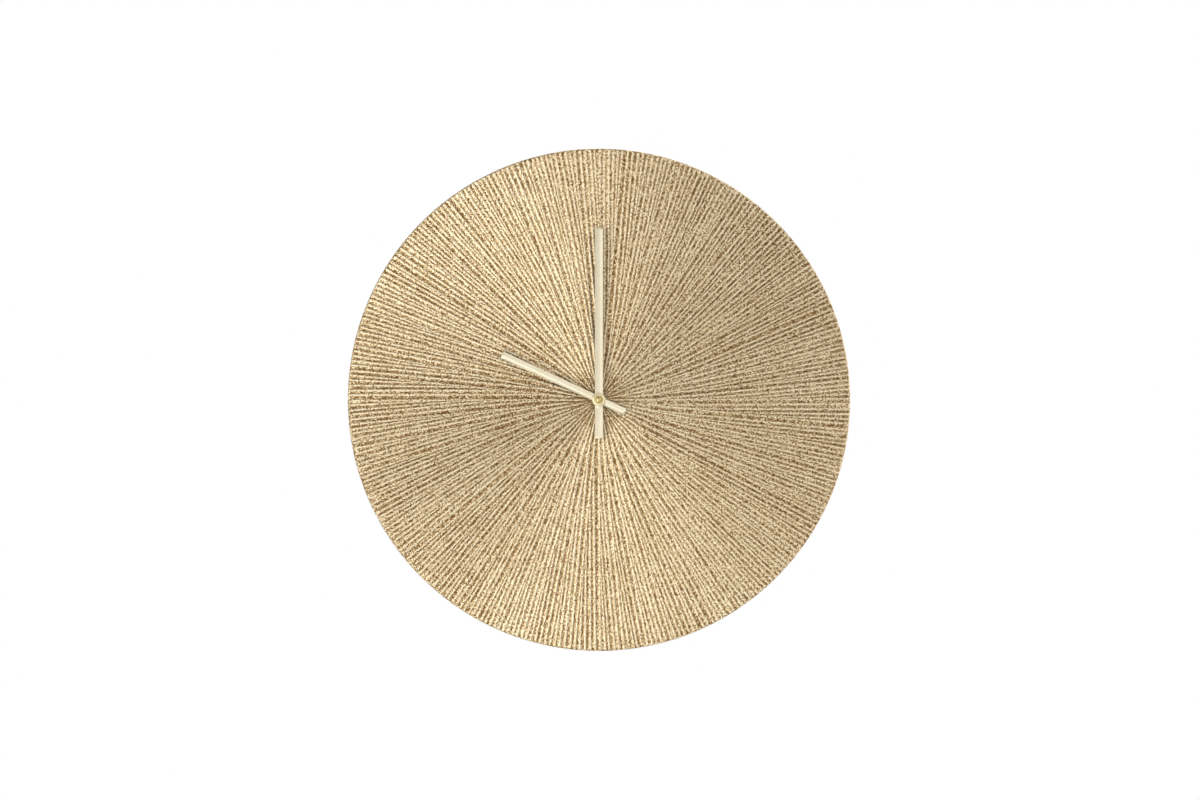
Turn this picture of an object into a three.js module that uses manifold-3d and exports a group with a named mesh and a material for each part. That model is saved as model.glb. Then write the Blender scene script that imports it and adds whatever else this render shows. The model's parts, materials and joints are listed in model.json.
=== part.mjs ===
// Sunburst wall clock: a cast disc with branching ribs, two baton hands and a quartz movement.
// Millimetres, +Z up to twelve o'clock. The dial faces -Y, the wall is the plane y = 0,
// and the hands turn about the Y axis at x = z = 0.
import * as THREE from "three";
import { mergeVertices } from "three/addons/utils/BufferGeometryUtils.js";
import Module from "manifold-3d";

const wasm = await Module();
wasm.setup();

// ---------- driving dimensions ----------
const DISC_R = 225;
const DISC_BACK = -20; // y of the flat back of the disc
const VALLEY_Y = -24.5; // y of the valley floors between the ribs
const RIB_H = 1.2;
const HUB_R = 9; // flat land round the centre hole
const HUB_Y = -25.1;
const CENTRE_HOLE_R = 4.3;
const WEDGES = 64;
const BRANCH_R = [46, 82, 114, 144]; // where each further rib leaves the wedge's edge rib
const RIM_FRACTION = [0.8, 0.6, 0.4, 0.2]; // where the same ribs end, as a part of the wedge
const HUB_RIBS_MEET_R = 22; // every second rib stops here on the way in

const MINUTE = { tip: 153.6, tail: 34.7, width: 7.4, back: -30.2, thick: 1.1, angle: 0 };
const HOUR = { tip: 95.8, tail: 25.9, width: 6.3, back: -28.6, thick: 1.0, angle: -65 };
const BOSS_R = 5.75;

const CASE_HALF = 28;
const CASE_CORNER = 4;
const WALL = 1.2;
const FRONT_Y = -19; // front face of the movement
const PLATE_Y = -17.8; // inner face of its front plate
const BACK_Y = -2.5; // back face of the movement
const BAY_TOP_Z = -11.45; // battery bay below this height
const BATTERY = { r: 7.25, half: 24.6, y: -10.2, z: -19 };

const MODULE = 0.4;
const GEAR_T = 0.7;
const PINION_T = 1.1;
const PIVOT_R = 0.5;
const HOLE_R = 0.57;
const POST_R = 0.8;

// shaft places in the XZ plane, from tooth counts and modules
const polar = (r, degrees) => [
  r * Math.cos((degrees * Math.PI) / 180),
  r * Math.sin((degrees * Math.PI) / 180),
];
const offset = (from, r, degrees) => {
  const [x, z] = polar(r, degrees);
  return [from[0] + x, from[1] + z];
};
const TEETH = {
  cannon: 10,
  motion: 30,
  motionPinion: 8,
  hour: 32,
  knob: 12,
  minute: 48,
  thirdPinion: 6,
  third: 45,
  secondsPinion: 6,
  seconds: 40,
  fifthPinion: 8,
  fifth: 36,
  rotorPinion: 6,
};
const CENTRE = [0, 0];
const MOTION_ANGLE = -20;
const KNOB_ANGLE = -17;
const THIRD_ANGLE = 150;
const FIFTH_ANGLE = 40;
const ROTOR_ANGLE = 20;
const THIRD_DISTANCE = (MODULE * (TEETH.minute + TEETH.thirdPinion)) / 2;
const THIRD_MODULE = (2 * THIRD_DISTANCE) / (TEETH.third + TEETH.secondsPinion);
const ROTOR_MODULE = 0.35;
const MOTION = polar((MODULE * (TEETH.cannon + TEETH.motion)) / 2, MOTION_ANGLE);
const KNOB = offset(MOTION, (MODULE * (TEETH.motion + TEETH.knob)) / 2, KNOB_ANGLE);
const THIRD = polar(THIRD_DISTANCE, THIRD_ANGLE);
const FIFTH = polar((MODULE * (TEETH.seconds + TEETH.fifthPinion)) / 2, FIFTH_ANGLE);
const ROTOR = offset(
  FIFTH,
  (ROTOR_MODULE * (TEETH.fifth + TEETH.rotorPinion)) / 2,
  ROTOR_ANGLE,
);

const BUMPER_RING_R = 190;
const BUMPER_ANGLES = [45, 135, 225, 315];
const BUMPER_R = 8;
const HANGER = { z: 150, halfW: 32, halfH: 12, back: -2.6, thick: 1.6, screwX: 24 };
const SCREW_HOLE_DEPTH = 3.2;

// ---------- materials ----------
const paint = (color, roughness, metalness) =>
  new THREE.MeshStandardMaterial({ color, roughness, metalness });
const CAST_BRASS = paint(0xb79c68, 0.42, 1);
const HAND_BRASS = paint(0xd8cba6, 0.3, 1);
const NUT_BRASS = paint(0xc9ad62, 0.2, 1);
const STEEL = paint(0xb8babd, 0.35, 1);
const ZINC = paint(0xa9acae, 0.45, 1);
const COPPER = paint(0xb8623a, 0.4, 1);
const RUBBER = paint(0x1d1d1e, 0.85, 0);
const BLACK_PLASTIC = paint(0x222326, 0.5, 0);
const WHITE_PLASTIC = paint(0xe6e4dc, 0.5, 0);
const BOARD_GREEN = paint(0x2e6a3c, 0.55, 0);
const MAGNET = paint(0x4a4a4e, 0.5, 0.6);
const SLEEVE = paint(0x2c5f8f, 0.4, 0);

// ---------- solids ----------
function solidOf(geometry) {
  const g = geometry.clone();
  g.deleteAttribute("normal");
  g.deleteAttribute("uv");
  const merged = mergeVertices(g, 1e-4);
  let made = new wasm.Manifold(
    new wasm.Mesh({
      numProp: 3,
      vertProperties: new Float32Array(merged.attributes.position.array),
      triVerts: new Uint32Array(merged.index.array),
    }),
  );
  if (made.volume() < 0) {
    const turned = Uint32Array.from(merged.index.array);
    for (let i = 0; i < turned.length; i += 3) {
      [turned[i + 1], turned[i + 2]] = [turned[i + 2], turned[i + 1]];
    }
    made = new wasm.Manifold(
      new wasm.Mesh({
        numProp: 3,
        vertProperties: new Float32Array(merged.attributes.position.array),
        triVerts: turned,
      }),
    );
  }
  return made;
}

function geometryOf(solid) {
  const mesh = solid.getMesh();
  const g = new THREE.BufferGeometry();
  g.setAttribute("position", new THREE.BufferAttribute(mesh.vertProperties, 3));
  g.setIndex(new THREE.BufferAttribute(mesh.triVerts, 1));
  return g;
}

const join = (...solids) => solids.reduce((a, b) => a.add(b));
const cut = (solid, ...tools) => tools.reduce((a, b) => a.subtract(b), solid);

// A block between two corners.
function block(x0, y0, z0, x1, y1, z1) {
  const g = new THREE.BoxGeometry(x1 - x0, y1 - y0, z1 - z0);
  g.translate((x0 + x1) / 2, (y0 + y1) / 2, (z0 + z1) / 2);
  return solidOf(g);
}

// A closed profile of [radius, y] points turned about the Y axis through [x, z].
function turned(profile, sides, at = CENTRE) {
  const g = new THREE.LatheGeometry(
    profile.map(([r, y]) => new THREE.Vector2(r, y)),
    sides,
  );
  g.translate(at[0], 0, at[1]);
  return solidOf(g);
}

const rod = (r, y0, y1, sides, at = CENTRE) =>
  turned([[0, y0], [r, y0], [r, y1], [0, y1]], sides, at);
const tube = (inner, outer, y0, y1, sides, at = CENTRE) =>
  turned([[inner, y0], [outer, y0], [outer, y1], [inner, y1], [inner, y0]], sides, at);

// An outline in the XZ plane, from y0 back to y1.
function plate(shape, y0, y1) {
  const g = new THREE.ExtrudeGeometry(shape, {
    depth: y1 - y0,
    bevelEnabled: false,
    curveSegments: 4,
  });
  g.rotateX(Math.PI / 2);
  g.translate(0, y1, 0);
  return solidOf(g);
}

function roundedSquare(half, corner) {
  const s = new THREE.Shape();
  const inner = half - corner;
  s.moveTo(-inner, -half);
  s.lineTo(inner, -half);
  s.absarc(inner, -inner, corner, -Math.PI / 2, 0, false);
  s.absarc(inner, inner, corner, 0, Math.PI / 2, false);
  s.absarc(-inner, inner, corner, Math.PI / 2, Math.PI, false);
  s.absarc(-inner, -inner, corner, Math.PI, 1.5 * Math.PI, false);
  return s;
}

// ---------- gears ----------
// One tooth is a trapezoid; `tooth` is the direction of a tooth's middle, in radians.
function gear(teeth, module, at, y0, y1, tooth) {
  const pitchR = (teeth * module) / 2;
  const root = pitchR - 1.15 * module;
  const tip = pitchR + 0.8 * module;
  const step = (2 * Math.PI) / teeth;
  const outline = [];
  for (let i = 0; i < teeth; i++) {
    for (const [r, part] of [[root, -0.3], [tip, -0.09], [tip, 0.09], [root, 0.3]]) {
      const a = tooth + (i + part) * step;
      outline.push(new THREE.Vector2(at[0] + r * Math.cos(a), at[1] + r * Math.sin(a)));
    }
  }
  return plate(new THREE.Shape(outline), y0, y1);
}

// The direction of a tooth on the gear driven by another, so that a tooth meets a gap.
function meshed(toothA, teethA, teethB, degrees) {
  const line = (degrees * Math.PI) / 180;
  const stepA = (2 * Math.PI) / teethA;
  const stepB = (2 * Math.PI) / teethB;
  const part = (toothA - line) / stepA;
  return line + Math.PI - part * stepB + stepB / 2;
}

const cannonTooth = 0;
const motionTooth = meshed(cannonTooth, TEETH.cannon, TEETH.motion, MOTION_ANGLE);
const knobTooth = meshed(motionTooth, TEETH.motion, TEETH.knob, KNOB_ANGLE);
const motionPinionTooth = 0;
const hourTooth = meshed(
  motionPinionTooth,
  TEETH.motionPinion,
  TEETH.hour,
  MOTION_ANGLE + 180,
);
const minuteTooth = 0;
const thirdPinionTooth = meshed(minuteTooth, TEETH.minute, TEETH.thirdPinion, THIRD_ANGLE);
const thirdTooth = 0;
const secondsPinionTooth = meshed(
  thirdTooth,
  TEETH.third,
  TEETH.secondsPinion,
  THIRD_ANGLE + 180,
);
const secondsTooth = 0;
const fifthPinionTooth = meshed(secondsTooth, TEETH.seconds, TEETH.fifthPinion, FIFTH_ANGLE);
const fifthTooth = 0;
const rotorPinionTooth = meshed(fifthTooth, TEETH.fifth, TEETH.rotorPinion, ROTOR_ANGLE);

// levels of the train, each the front face of a gear
const LEVEL = {
  hour: -17.5,
  motion: -16.3,
  minute: -15.0,
  third: -12.3,
  seconds: -11.1,
  fifth: -9.9,
};
const PINION_LEAD = (PINION_T - GEAR_T) / 2;
const STATOR_Y = -8.3;
const CORE_Y = -7.5;
const STATOR_SCREWS = [[11, 21.5], [24.4, 21.5]];
const BOARD_Y = -6.3;
const BRIDGE_FRONT = -13.8;
const BRIDGE_BACK = -12.8;
const PLATE_PIVOT_Y = PLATE_Y - 0.6;
const REAR_PIVOT_Y = BACK_Y - WALL + 0.6;

const wheel = (teeth, module, at, level, tooth) =>
  gear(teeth, module, at, level, level + GEAR_T, tooth);
const pinion = (teeth, module, at, level, tooth) =>
  gear(teeth, module, at, level - PINION_LEAD, level + GEAR_T + PINION_LEAD, tooth);

// ---------- dial disc ----------
// Angular place of further rib j at radius r, as a part of the wedge.
const ribFraction = (j, r) =>
  ((RIM_FRACTION[j] * DISC_R) / r) * ((r - BRANCH_R[j]) / (DISC_R - BRANCH_R[j]));

// The lines that cross one wedge at radius r, in angle order: crests and the valleys between.
// `started` is how many further ribs have left the wedge's edge rib.
function wedgeLines(r, started, height) {
  const crests = [0];
  for (let j = started - 1; j >= 0; j--) crests.push(Math.max(0, ribFraction(j, r)));
  const ids = [0];
  for (let j = started; j >= 1; j--) ids.push(j);
  const lines = [];
  crests.forEach((f, k) => {
    const next = k + 1 < crests.length ? crests[k + 1] : 1;
    lines.push({ id: `crest${ids[k]}`, f, y: VALLEY_Y - height });
    const last = k + 1 === crests.length;
    const id = last ? "valleyend" : `valley${ids[k + 1]}`;
    const share = last ? 0.6 : 0.5;
    lines.push({ id, f: f + (next - f) * share, y: VALLEY_Y });
  });
  return lines;
}

class Skin {
  constructor() {
    this.points = [];
    this.triangles = [];
  }
  point(r, turn, y) {
    const a = turn * 2 * Math.PI;
    this.points.push(r * Math.cos(a), y, r * Math.sin(a));
    return this.points.length / 3 - 1;
  }
  // Joins two closed rings of {turn, index}, each sorted by turn, with a band of triangles.
  band(inner, outer) {
    let i = 0;
    let o = 0;
    const turnAt = (ring, k) => ring[k % ring.length].turn + Math.floor(k / ring.length);
    while (i < inner.length || o < outer.length) {
      const a = inner[i % inner.length].index;
      const b = outer[o % outer.length].index;
      const stepInner =
        o >= outer.length || (i < inner.length && turnAt(inner, i + 1) <= turnAt(outer, o + 1));
      const ring = stepInner ? inner : outer;
      const place = stepInner ? i : o;
      const next = ring[(place + 1) % ring.length].index;
      this.triangles.push(a, b, next);
      if (stepInner) i++;
      else o++;
    }
  }
  solid() {
    const g = new THREE.BufferGeometry();
    g.setAttribute("position", new THREE.Float32BufferAttribute(this.points, 3));
    g.setIndex(this.triangles);
    return solidOf(g);
  }
}

function dialDisc() {
  const skin = new Skin();
  const even = (r, y, count) =>
    Array.from({ length: count }, (_, k) => {
      const turn = k / count;
      return { turn, index: skin.point(r, turn, y) };
    });

  // rings of ribs; `every` joins that many wedges near the hub
  const ribRing = (r, started, height, every = 1) => {
    const ring = [];
    for (let w = 0; w < WEDGES / every; w++) {
      for (const line of wedgeLines(r, started, height)) {
        const turn = ((w + line.f) * every) / WEDGES;
        ring.push({ turn, index: skin.point(r, turn, line.y), id: line.id });
      }
    }
    return ring;
  };
  const rings = [
    even(HUB_R - 0.5, HUB_Y, 32),
    ribRing(HUB_R + 1.5, 0, 0.5, 2),
    ribRing(HUB_RIBS_MEET_R, 0, RIB_H, 2),
    ...BRANCH_R.map((r, started) => ribRing(r, started, RIB_H)),
    ribRing(DISC_R - 1.5, BRANCH_R.length, RIB_H),
    even(DISC_R, -23.4, 128),
    even(DISC_R, -20.6, 128),
    even(DISC_R - 0.6, DISC_BACK, 128),
    even(CENTRE_HOLE_R, DISC_BACK, 16),
    even(CENTRE_HOLE_R, HUB_Y, 16),
  ];
  rings.forEach((ring, k) => skin.band(ring, rings[(k + 1) % rings.length]));
  const holes = BUMPER_ANGLES.map((a) =>
    rod(2.1, DISC_BACK - SCREW_HOLE_DEPTH, DISC_BACK + 1, 10, polar(BUMPER_RING_R, a)),
  );
  for (const side of [-1, 1]) {
    const at = [side * HANGER.screwX, HANGER.z];
    holes.push(rod(2.1, DISC_BACK - SCREW_HOLE_DEPTH, DISC_BACK + 1, 10, at));
  }
  return cut(skin.solid(), ...holes);
}

// ---------- hands ----------
// A bar with bevelled front edges, a round boss and a collar behind it.
function hand({ tip, tail, width, back, thick }, collarR, collarBack, boreR) {
  const w = width / 2;
  const bevel = 1.3;
  const side = 0.45 * thick;
  const ring = (inset, y) => [
    [-w + inset, y, -tail + inset],
    [w - inset, y, -tail + inset],
    [w - inset, y, tip - inset],
    [-w + inset, y, tip - inset],
  ];
  const points = [...ring(0, back), ...ring(0, back - side), ...ring(bevel, back - thick)];
  const triangles = [0, 1, 2, 0, 2, 3, 8, 10, 9, 8, 11, 10];
  for (const base of [0, 4]) {
    for (let k = 0; k < 4; k++) {
      const n = (k + 1) % 4;
      triangles.push(base + k, base + 4 + k, base + n, base + n, base + 4 + k, base + 4 + n);
    }
  }
  const g = new THREE.BufferGeometry();
  g.setAttribute("position", new THREE.Float32BufferAttribute(points.flat(), 3));
  g.setIndex(triangles);
  const boss = turned(
    [
      [0, back],
      [BOSS_R, back],
      [BOSS_R, back - 0.8],
      [BOSS_R - 0.5, back - thick - 0.2],
      [0, back - thick - 0.2],
    ],
    24,
  );
  const collar = rod(collarR, back - 0.2, collarBack, 16);
  return cut(join(solidOf(g), boss, collar), rod(boreR, back - 5, collarBack + 1, 16));
}

const capNut = () =>
  turned(
    [
      [0, -35.6],
      [1.5, -35.4],
      [2.7, -34.8],
      [3.3, -33.9],
      [3.5, -32.8],
      [3.5, -31.6],
      [1.3, -31.6],
      [1.3, -34.2],
      [0, -34.2],
    ],
    24,
  );

function hexNut() {
  const hex = new THREE.Shape(
    Array.from({ length: 6 }, (_, k) => {
      const a = (k * Math.PI) / 3;
      return new THREE.Vector2(5.77 * Math.cos(a), 5.77 * Math.sin(a));
    }),
  );
  return cut(plate(hex, -27.6, -25.65), rod(4.0, -30, -20, 24));
}

// ---------- movement ----------
function movementFront() {
  const base = plate(roundedSquare(CASE_HALF, CASE_CORNER), FRONT_Y, PLATE_Y);
  const stem = rod(3.9, -28.0, FRONT_Y + 0.4, 24);
  const post = rod(POST_R, PLATE_Y - 0.2, LEVEL.motion + GEAR_T + 0.3, 10, MOTION);
  const hole = rod(2.65, -29, PLATE_Y + 1, 20);
  const pivot = rod(HOLE_R, PLATE_Y - 0.8, PLATE_Y + 1, 12, THIRD);
  return cut(join(base, stem, post), hole, pivot);
}

function movementCase() {
  const front = PLATE_Y + 0.02;
  const inner = CASE_HALF - WALL;
  const outer = plate(roundedSquare(CASE_HALF, CASE_CORNER), front, BACK_Y);
  const train = block(-inner, front - 1, BAY_TOP_Z + WALL, inner, BACK_Y - WALL, inner);
  const bay = block(-inner, front - 1, -inner, inner, BACK_Y + 1, BAY_TOP_Z);
  const keep = plate(roundedSquare(inner, CASE_CORNER - WALL), front - 1, BACK_Y + 1);
  const slots = [-1, 1].map((side) => {
    const x = side * (inner - 0.3);
    return block(x - 0.5, front - 1, BAY_TOP_Z - 1, x + 0.5, BACK_Y - WALL, BAY_TOP_Z + WALL + 1);
  });
  const pivots = [THIRD, CENTRE, FIFTH, ROTOR].map((at) =>
    rod(HOLE_R, BACK_Y - WALL - 1, BACK_Y - WALL + 0.8, 12, at),
  );
  const knobHole = rod(1.57, BACK_Y - 5, BACK_Y + 1, 14, KNOB);
  const rooms = join(train, bay, ...slots).intersect(keep);
  return cut(outer, rooms, ...pivots, knobHole);
}

// The middle plate, with legs to the front plate and posts for the stator and the board.
function trainBridge() {
  const s = new THREE.Shape();
  s.moveTo(-25.6, -9.9);
  s.lineTo(25.6, -9.9);
  s.lineTo(25.6, 23.5);
  s.lineTo(23.5, 25.6);
  s.lineTo(-23.5, 25.6);
  s.lineTo(-25.6, 23.5);
  const legs = [[-23, -7], [23, -7], [-23, 22], [22, 22]].map((at) =>
    rod(1.5, PLATE_Y + 0.02, BRIDGE_FRONT + 0.2, 8, at),
  );
  const statorPosts = STATOR_SCREWS.map((at) =>
    cut(rod(1.3, BRIDGE_BACK - 0.2, STATOR_Y - 0.02, 8, at), rod(0.75, BRIDGE_BACK + 1, 0, 8, at)),
  );
  const boardPosts = [[-22, 19], [4, 24]].map((at) =>
    rod(1.2, BRIDGE_BACK - 0.2, BOARD_Y - 0.02, 8, at),
  );
  const through = (at, r) => rod(r, BRIDGE_FRONT - 1, BRIDGE_BACK + 1, 12, at);
  return cut(
    join(plate(s, BRIDGE_FRONT, BRIDGE_BACK), ...legs, ...statorPosts, ...boardPosts),
    through(CENTRE, HOLE_R),
    through(THIRD, 0.85),
    through(FIFTH, HOLE_R),
    through(ROTOR, HOLE_R),
    through(KNOB, 1.6),
  );
}

const hourWheel = () =>
  cut(
    join(
      wheel(TEETH.hour, MODULE, CENTRE, LEVEL.hour, hourTooth),
      rod(2.55, -29.9, LEVEL.hour + 0.2, 20),
    ),
    rod(1.7, -31, LEVEL.hour + 2, 16),
  );

const cannonPinion = () =>
  join(
    rod(1.62, -31.55, LEVEL.motion, 16),
    rod(1.2, -34.0, -31.3, 14),
    pinion(TEETH.cannon, MODULE, CENTRE, LEVEL.motion, cannonTooth),
    rod(1.1, LEVEL.motion + 0.5, -14.1, 14),
  );

const motionWheel = () =>
  cut(
    join(
      wheel(TEETH.motion, MODULE, MOTION, LEVEL.motion, motionTooth),
      gear(
        TEETH.motionPinion,
        MODULE,
        MOTION,
        LEVEL.hour - 0.1,
        LEVEL.motion + 0.2,
        motionPinionTooth,
      ),
    ),
    rod(POST_R + 0.07, -19, -14, 12, MOTION),
  );

const settingKnob = () =>
  join(
    pinion(TEETH.knob, MODULE, KNOB, LEVEL.motion, knobTooth),
    rod(1.5, LEVEL.motion + 0.3, -1.5, 16, KNOB),
    turned(
      [
        [0, BACK_Y + 0.2],
        [5, BACK_Y + 0.2],
        [5, -0.9],
        [4.6, -0.5],
        [0, -0.5],
      ],
      24,
      KNOB,
    ),
  );

const minuteWheel = () =>
  cut(
    wheel(TEETH.minute, MODULE, CENTRE, LEVEL.minute, minuteTooth),
    rod(1.17, -16, -13, 14),
  );

const arbor = (r, at, y0, y1) =>
  join(rod(PIVOT_R, y0, y1, 10, at), rod(r, y0 + 0.9, y1 - 0.9, 10, at));

const thirdWheel = () =>
  join(
    arbor(0.75, THIRD, PLATE_PIVOT_Y, REAR_PIVOT_Y),
    pinion(TEETH.thirdPinion, MODULE, THIRD, LEVEL.minute, thirdPinionTooth),
    wheel(TEETH.third, THIRD_MODULE, THIRD, LEVEL.third, thirdTooth),
  );

const secondsWheel = () =>
  join(
    arbor(0.75, CENTRE, BRIDGE_FRONT + 0.1, REAR_PIVOT_Y),
    pinion(TEETH.secondsPinion, THIRD_MODULE, CENTRE, LEVEL.third, secondsPinionTooth),
    wheel(TEETH.seconds, MODULE, CENTRE, LEVEL.seconds, secondsTooth),
  );

const fifthWheel = () =>
  join(
    arbor(0.75, FIFTH, BRIDGE_FRONT + 0.1, REAR_PIVOT_Y),
    pinion(TEETH.fifthPinion, MODULE, FIFTH, LEVEL.seconds, fifthPinionTooth),
    wheel(TEETH.fifth, ROTOR_MODULE, FIFTH, LEVEL.fifth, fifthTooth),
  );

const rotor = () =>
  join(
    rod(PIVOT_R, BRIDGE_FRONT + 0.1, REAR_PIVOT_Y, 12, ROTOR),
    pinion(TEETH.rotorPinion, ROTOR_MODULE, ROTOR, LEVEL.fifth, rotorPinionTooth),
  );
const rotorMagnet = () => tube(PIVOT_R + 0.05, 2.2, -8.7, -7.1, 16, ROTOR);

function stator() {
  const s = new THREE.Shape();
  s.moveTo(9.4, 5.4);
  s.lineTo(25.8, 5.4);
  s.lineTo(25.8, 24);
  s.lineTo(23, 24);
  s.lineTo(23, 12);
  s.lineTo(12.6, 12);
  s.lineTo(12.6, 24);
  s.lineTo(9.4, 24);
  const screws = STATOR_SCREWS.map((at) => rod(0.75, STATOR_Y - 1, CORE_Y + 1, 12, at));
  return cut(
    plate(s, STATOR_Y, CORE_Y - 0.02),
    rod(2.7, STATOR_Y - 1, CORE_Y + 1, 20, ROTOR),
    ...screws,
  );
}
const COIL = { x0: 13, x1: 22.7, z: 21.5 };
function coilCore() {
  const screws = STATOR_SCREWS.map((at) => rod(0.75, CORE_Y - 1, CORE_Y + 2, 12, at));
  return cut(block(9.4, CORE_Y, 20, 25.8, CORE_Y + 0.8, 23), ...screws);
}
const CORE_MID = CORE_Y + 0.4;

// A solid of revolution about the coil's axis, which runs along X.
function alongCoil(profile, sides) {
  const g = new THREE.LatheGeometry(
    profile.map(([r, x]) => new THREE.Vector2(r, x)),
    sides,
  );
  g.rotateZ(-Math.PI / 2);
  g.translate(0, CORE_MID, COIL.z);
  return solidOf(g);
}
const coilBobbin = () =>
  cut(
    alongCoil(
      [
        [0, COIL.x0],
        [3.2, COIL.x0],
        [3.2, COIL.x0 + 0.6],
        [2.0, COIL.x0 + 0.6],
        [2.0, COIL.x1 - 0.6],
        [3.2, COIL.x1 - 0.6],
        [3.2, COIL.x1],
        [0, COIL.x1],
      ],
      16,
    ),
    block(0, CORE_Y - 0.05, 19.95, 40, CORE_Y + 0.85, 23.05),
  );
const coilWinding = () =>
  alongCoil(
    [
      [2.03, COIL.x0 + 0.65],
      [2.9, COIL.x0 + 0.65],
      [2.9, COIL.x1 - 0.65],
      [2.03, COIL.x1 - 0.65],
      [2.03, COIL.x0 + 0.65],
    ],
    16,
  );
const statorScrew = (at) =>
  join(
    rod(0.7, STATOR_Y - 2, CORE_Y + 1, 8, at),
    rod(1.35, CORE_Y + 0.85, CORE_Y + 1.7, 12, at),
  );

const circuitBoard = () => block(-25.2, BOARD_Y, 16.4, 6.8, BOARD_Y + 0.8, 25.2);
function quartzCrystal() {
  const g = new THREE.CylinderGeometry(1.0, 1.0, 6, 12);
  g.rotateZ(Math.PI / 2);
  g.translate(-14, -7.34, 22.5);
  return solidOf(g);
}
const timerChip = () => turned([[0, -5.48], [2.6, -5.48], [1.9, -4.6], [0, -4.3]], 12, [-3, 21]);

// Sheet-metal contacts: a leaf at the cell's end and a strip up the side wall to the board.
function contactNegative() {
  const leaf = block(-26.1, -16, -24.6, -25.75, -4.6, -13.4);
  const strip = block(-26.6, -6.2, -13.6, -26.25, -4.6, 24);
  const neck = block(-26.6, -6.2, -13.6, -25.75, -4.6, -13.4);
  const tab = block(-26.6, -5.47, 20, -24.0, -5.1, 24);
  return join(leaf, strip, neck, tab);
}
function contactPositive() {
  const leaf = block(25.75, -16, -24.6, 26.1, -4.6, -13.4);
  const neck = block(25.75, -5.4, -13.6, 26.6, -4.6, -13.4);
  const s = new THREE.Shape();
  s.moveTo(26.6, -13.6);
  s.lineTo(26.6, 23.8);
  s.lineTo(23.8, 26.6);
  s.lineTo(4.2, 26.6);
  s.lineTo(4.2, 24);
  s.lineTo(4.6, 24);
  s.lineTo(4.6, 26.25);
  s.lineTo(23.65, 26.25);
  s.lineTo(26.25, 23.65);
  s.lineTo(26.25, -13.6);
  return join(leaf, neck, plate(s, -5.4, -4.6));
}

// ---------- battery ----------
function alongCell(profile, sides) {
  const g = new THREE.LatheGeometry(
    profile.map(([r, x]) => new THREE.Vector2(r, x)),
    sides,
  );
  g.rotateZ(-Math.PI / 2);
  g.translate(0, BATTERY.y, BATTERY.z);
  return solidOf(g);
}
const cellCan = () =>
  alongCell(
    [
      [0, -BATTERY.half],
      [6.7, -BATTERY.half],
      [7.0, -BATTERY.half + 0.4],
      [7.0, BATTERY.half - 0.9],
      [6.4, BATTERY.half - 0.3],
      [2.7, BATTERY.half - 0.3],
      [2.6, BATTERY.half + 0.9],
      [0, BATTERY.half + 1.0],
    ],
    20,
  );
const cellSleeve = () =>
  alongCell(
    [
      [7.03, -BATTERY.half + 0.7],
      [7.25, -BATTERY.half + 0.7],
      [7.25, BATTERY.half - 1.0],
      [7.03, BATTERY.half - 1.0],
      [7.03, -BATTERY.half + 0.7],
    ],
    20,
  );

// ---------- hanging ----------
// The slot's top is a flat seat for the nail.
function hangerPlate() {
  const { z, halfW, halfH, back, thick, screwX } = HANGER;
  const s = new THREE.Shape();
  const c = 4;
  s.moveTo(-halfW + c, z - halfH);
  s.lineTo(halfW - c, z - halfH);
  s.absarc(halfW - c, z - halfH + c, c, -Math.PI / 2, 0, false);
  s.absarc(halfW - c, z + halfH - c, c, 0, Math.PI / 2, false);
  s.absarc(-halfW + c, z + halfH - c, c, Math.PI / 2, Math.PI, false);
  s.absarc(-halfW + c, z - halfH + c, c, Math.PI, 1.5 * Math.PI, false);
  const front = back - thick;
  const holes = [-1, 1].map((side) => rod(2.2, front - 1, back + 1, 14, [side * screwX, z]));
  return cut(
    plate(s, front, back),
    rod(5, front - 1, back + 1, 24, [0, z - 3]),
    block(-2.5, front - 1, z - 3, 2.5, back + 1, z + 5),
    ...holes,
  );
}
const hangerSpacer = (side) =>
  tube(2.2, 5, DISC_BACK + 0.02, HANGER.back - HANGER.thick - 0.02, 20, [
    side * HANGER.screwX,
    HANGER.z,
  ]);
const panScrew = (at, tipY, underHead) =>
  join(
    rod(1.95, tipY, underHead + 0.1, 8, at),
    turned(
      [
        [0, underHead + 0.02],
        [3.8, underHead + 0.02],
        [3.8, underHead + 1.0],
        [2.6, underHead + 2.1],
        [0, underHead + 2.2],
      ],
      12,
      at,
    ),
  );
const hangerScrew = (side) =>
  panScrew([side * HANGER.screwX, HANGER.z], DISC_BACK - SCREW_HOLE_DEPTH + 0.3, HANGER.back);
const BUMPER_SEAT = -8;
const bumper = (degrees) =>
  turned(
    [
      [2.2, DISC_BACK + 0.02],
      [BUMPER_R + 1, DISC_BACK + 0.02],
      [BUMPER_R, 0],
      [4.5, 0],
      [4.5, BUMPER_SEAT],
      [2.2, BUMPER_SEAT],
      [2.2, DISC_BACK + 0.02],
    ],
    16,
    polar(BUMPER_RING_R, degrees),
  );
const bumperScrew = (degrees) =>
  panScrew(polar(BUMPER_RING_R, degrees), DISC_BACK - SCREW_HOLE_DEPTH + 0.3, BUMPER_SEAT);

// ---------- assembly ----------
const clock = new THREE.Group();
clock.name = "sunburst_wall_clock";
const dial = new THREE.Group();
const hands = new THREE.Group();
const movement = new THREE.Group();
const cell = new THREE.Group();
const hanging = new THREE.Group();
clock.add(dial, hands, movement, cell, hanging);

function add(group, name, solid, material, degreesClockwise = 0) {
  const mesh = new THREE.Mesh(geometryOf(solid), material.clone());
  mesh.name = name;
  mesh.rotation.y = (degreesClockwise * Math.PI) / 180;
  group.add(mesh);
}

add(dial, "dial_disc", dialDisc(), CAST_BRASS);

add(hands, "hour_hand", hand(HOUR, 3.6, -28.06, 2.64), HAND_BRASS, HOUR.angle);
add(hands, "minute_hand", hand(MINUTE, 2.8, -29.93, 1.7), HAND_BRASS, MINUTE.angle);
add(hands, "cap_nut", capNut(), NUT_BRASS);

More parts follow.
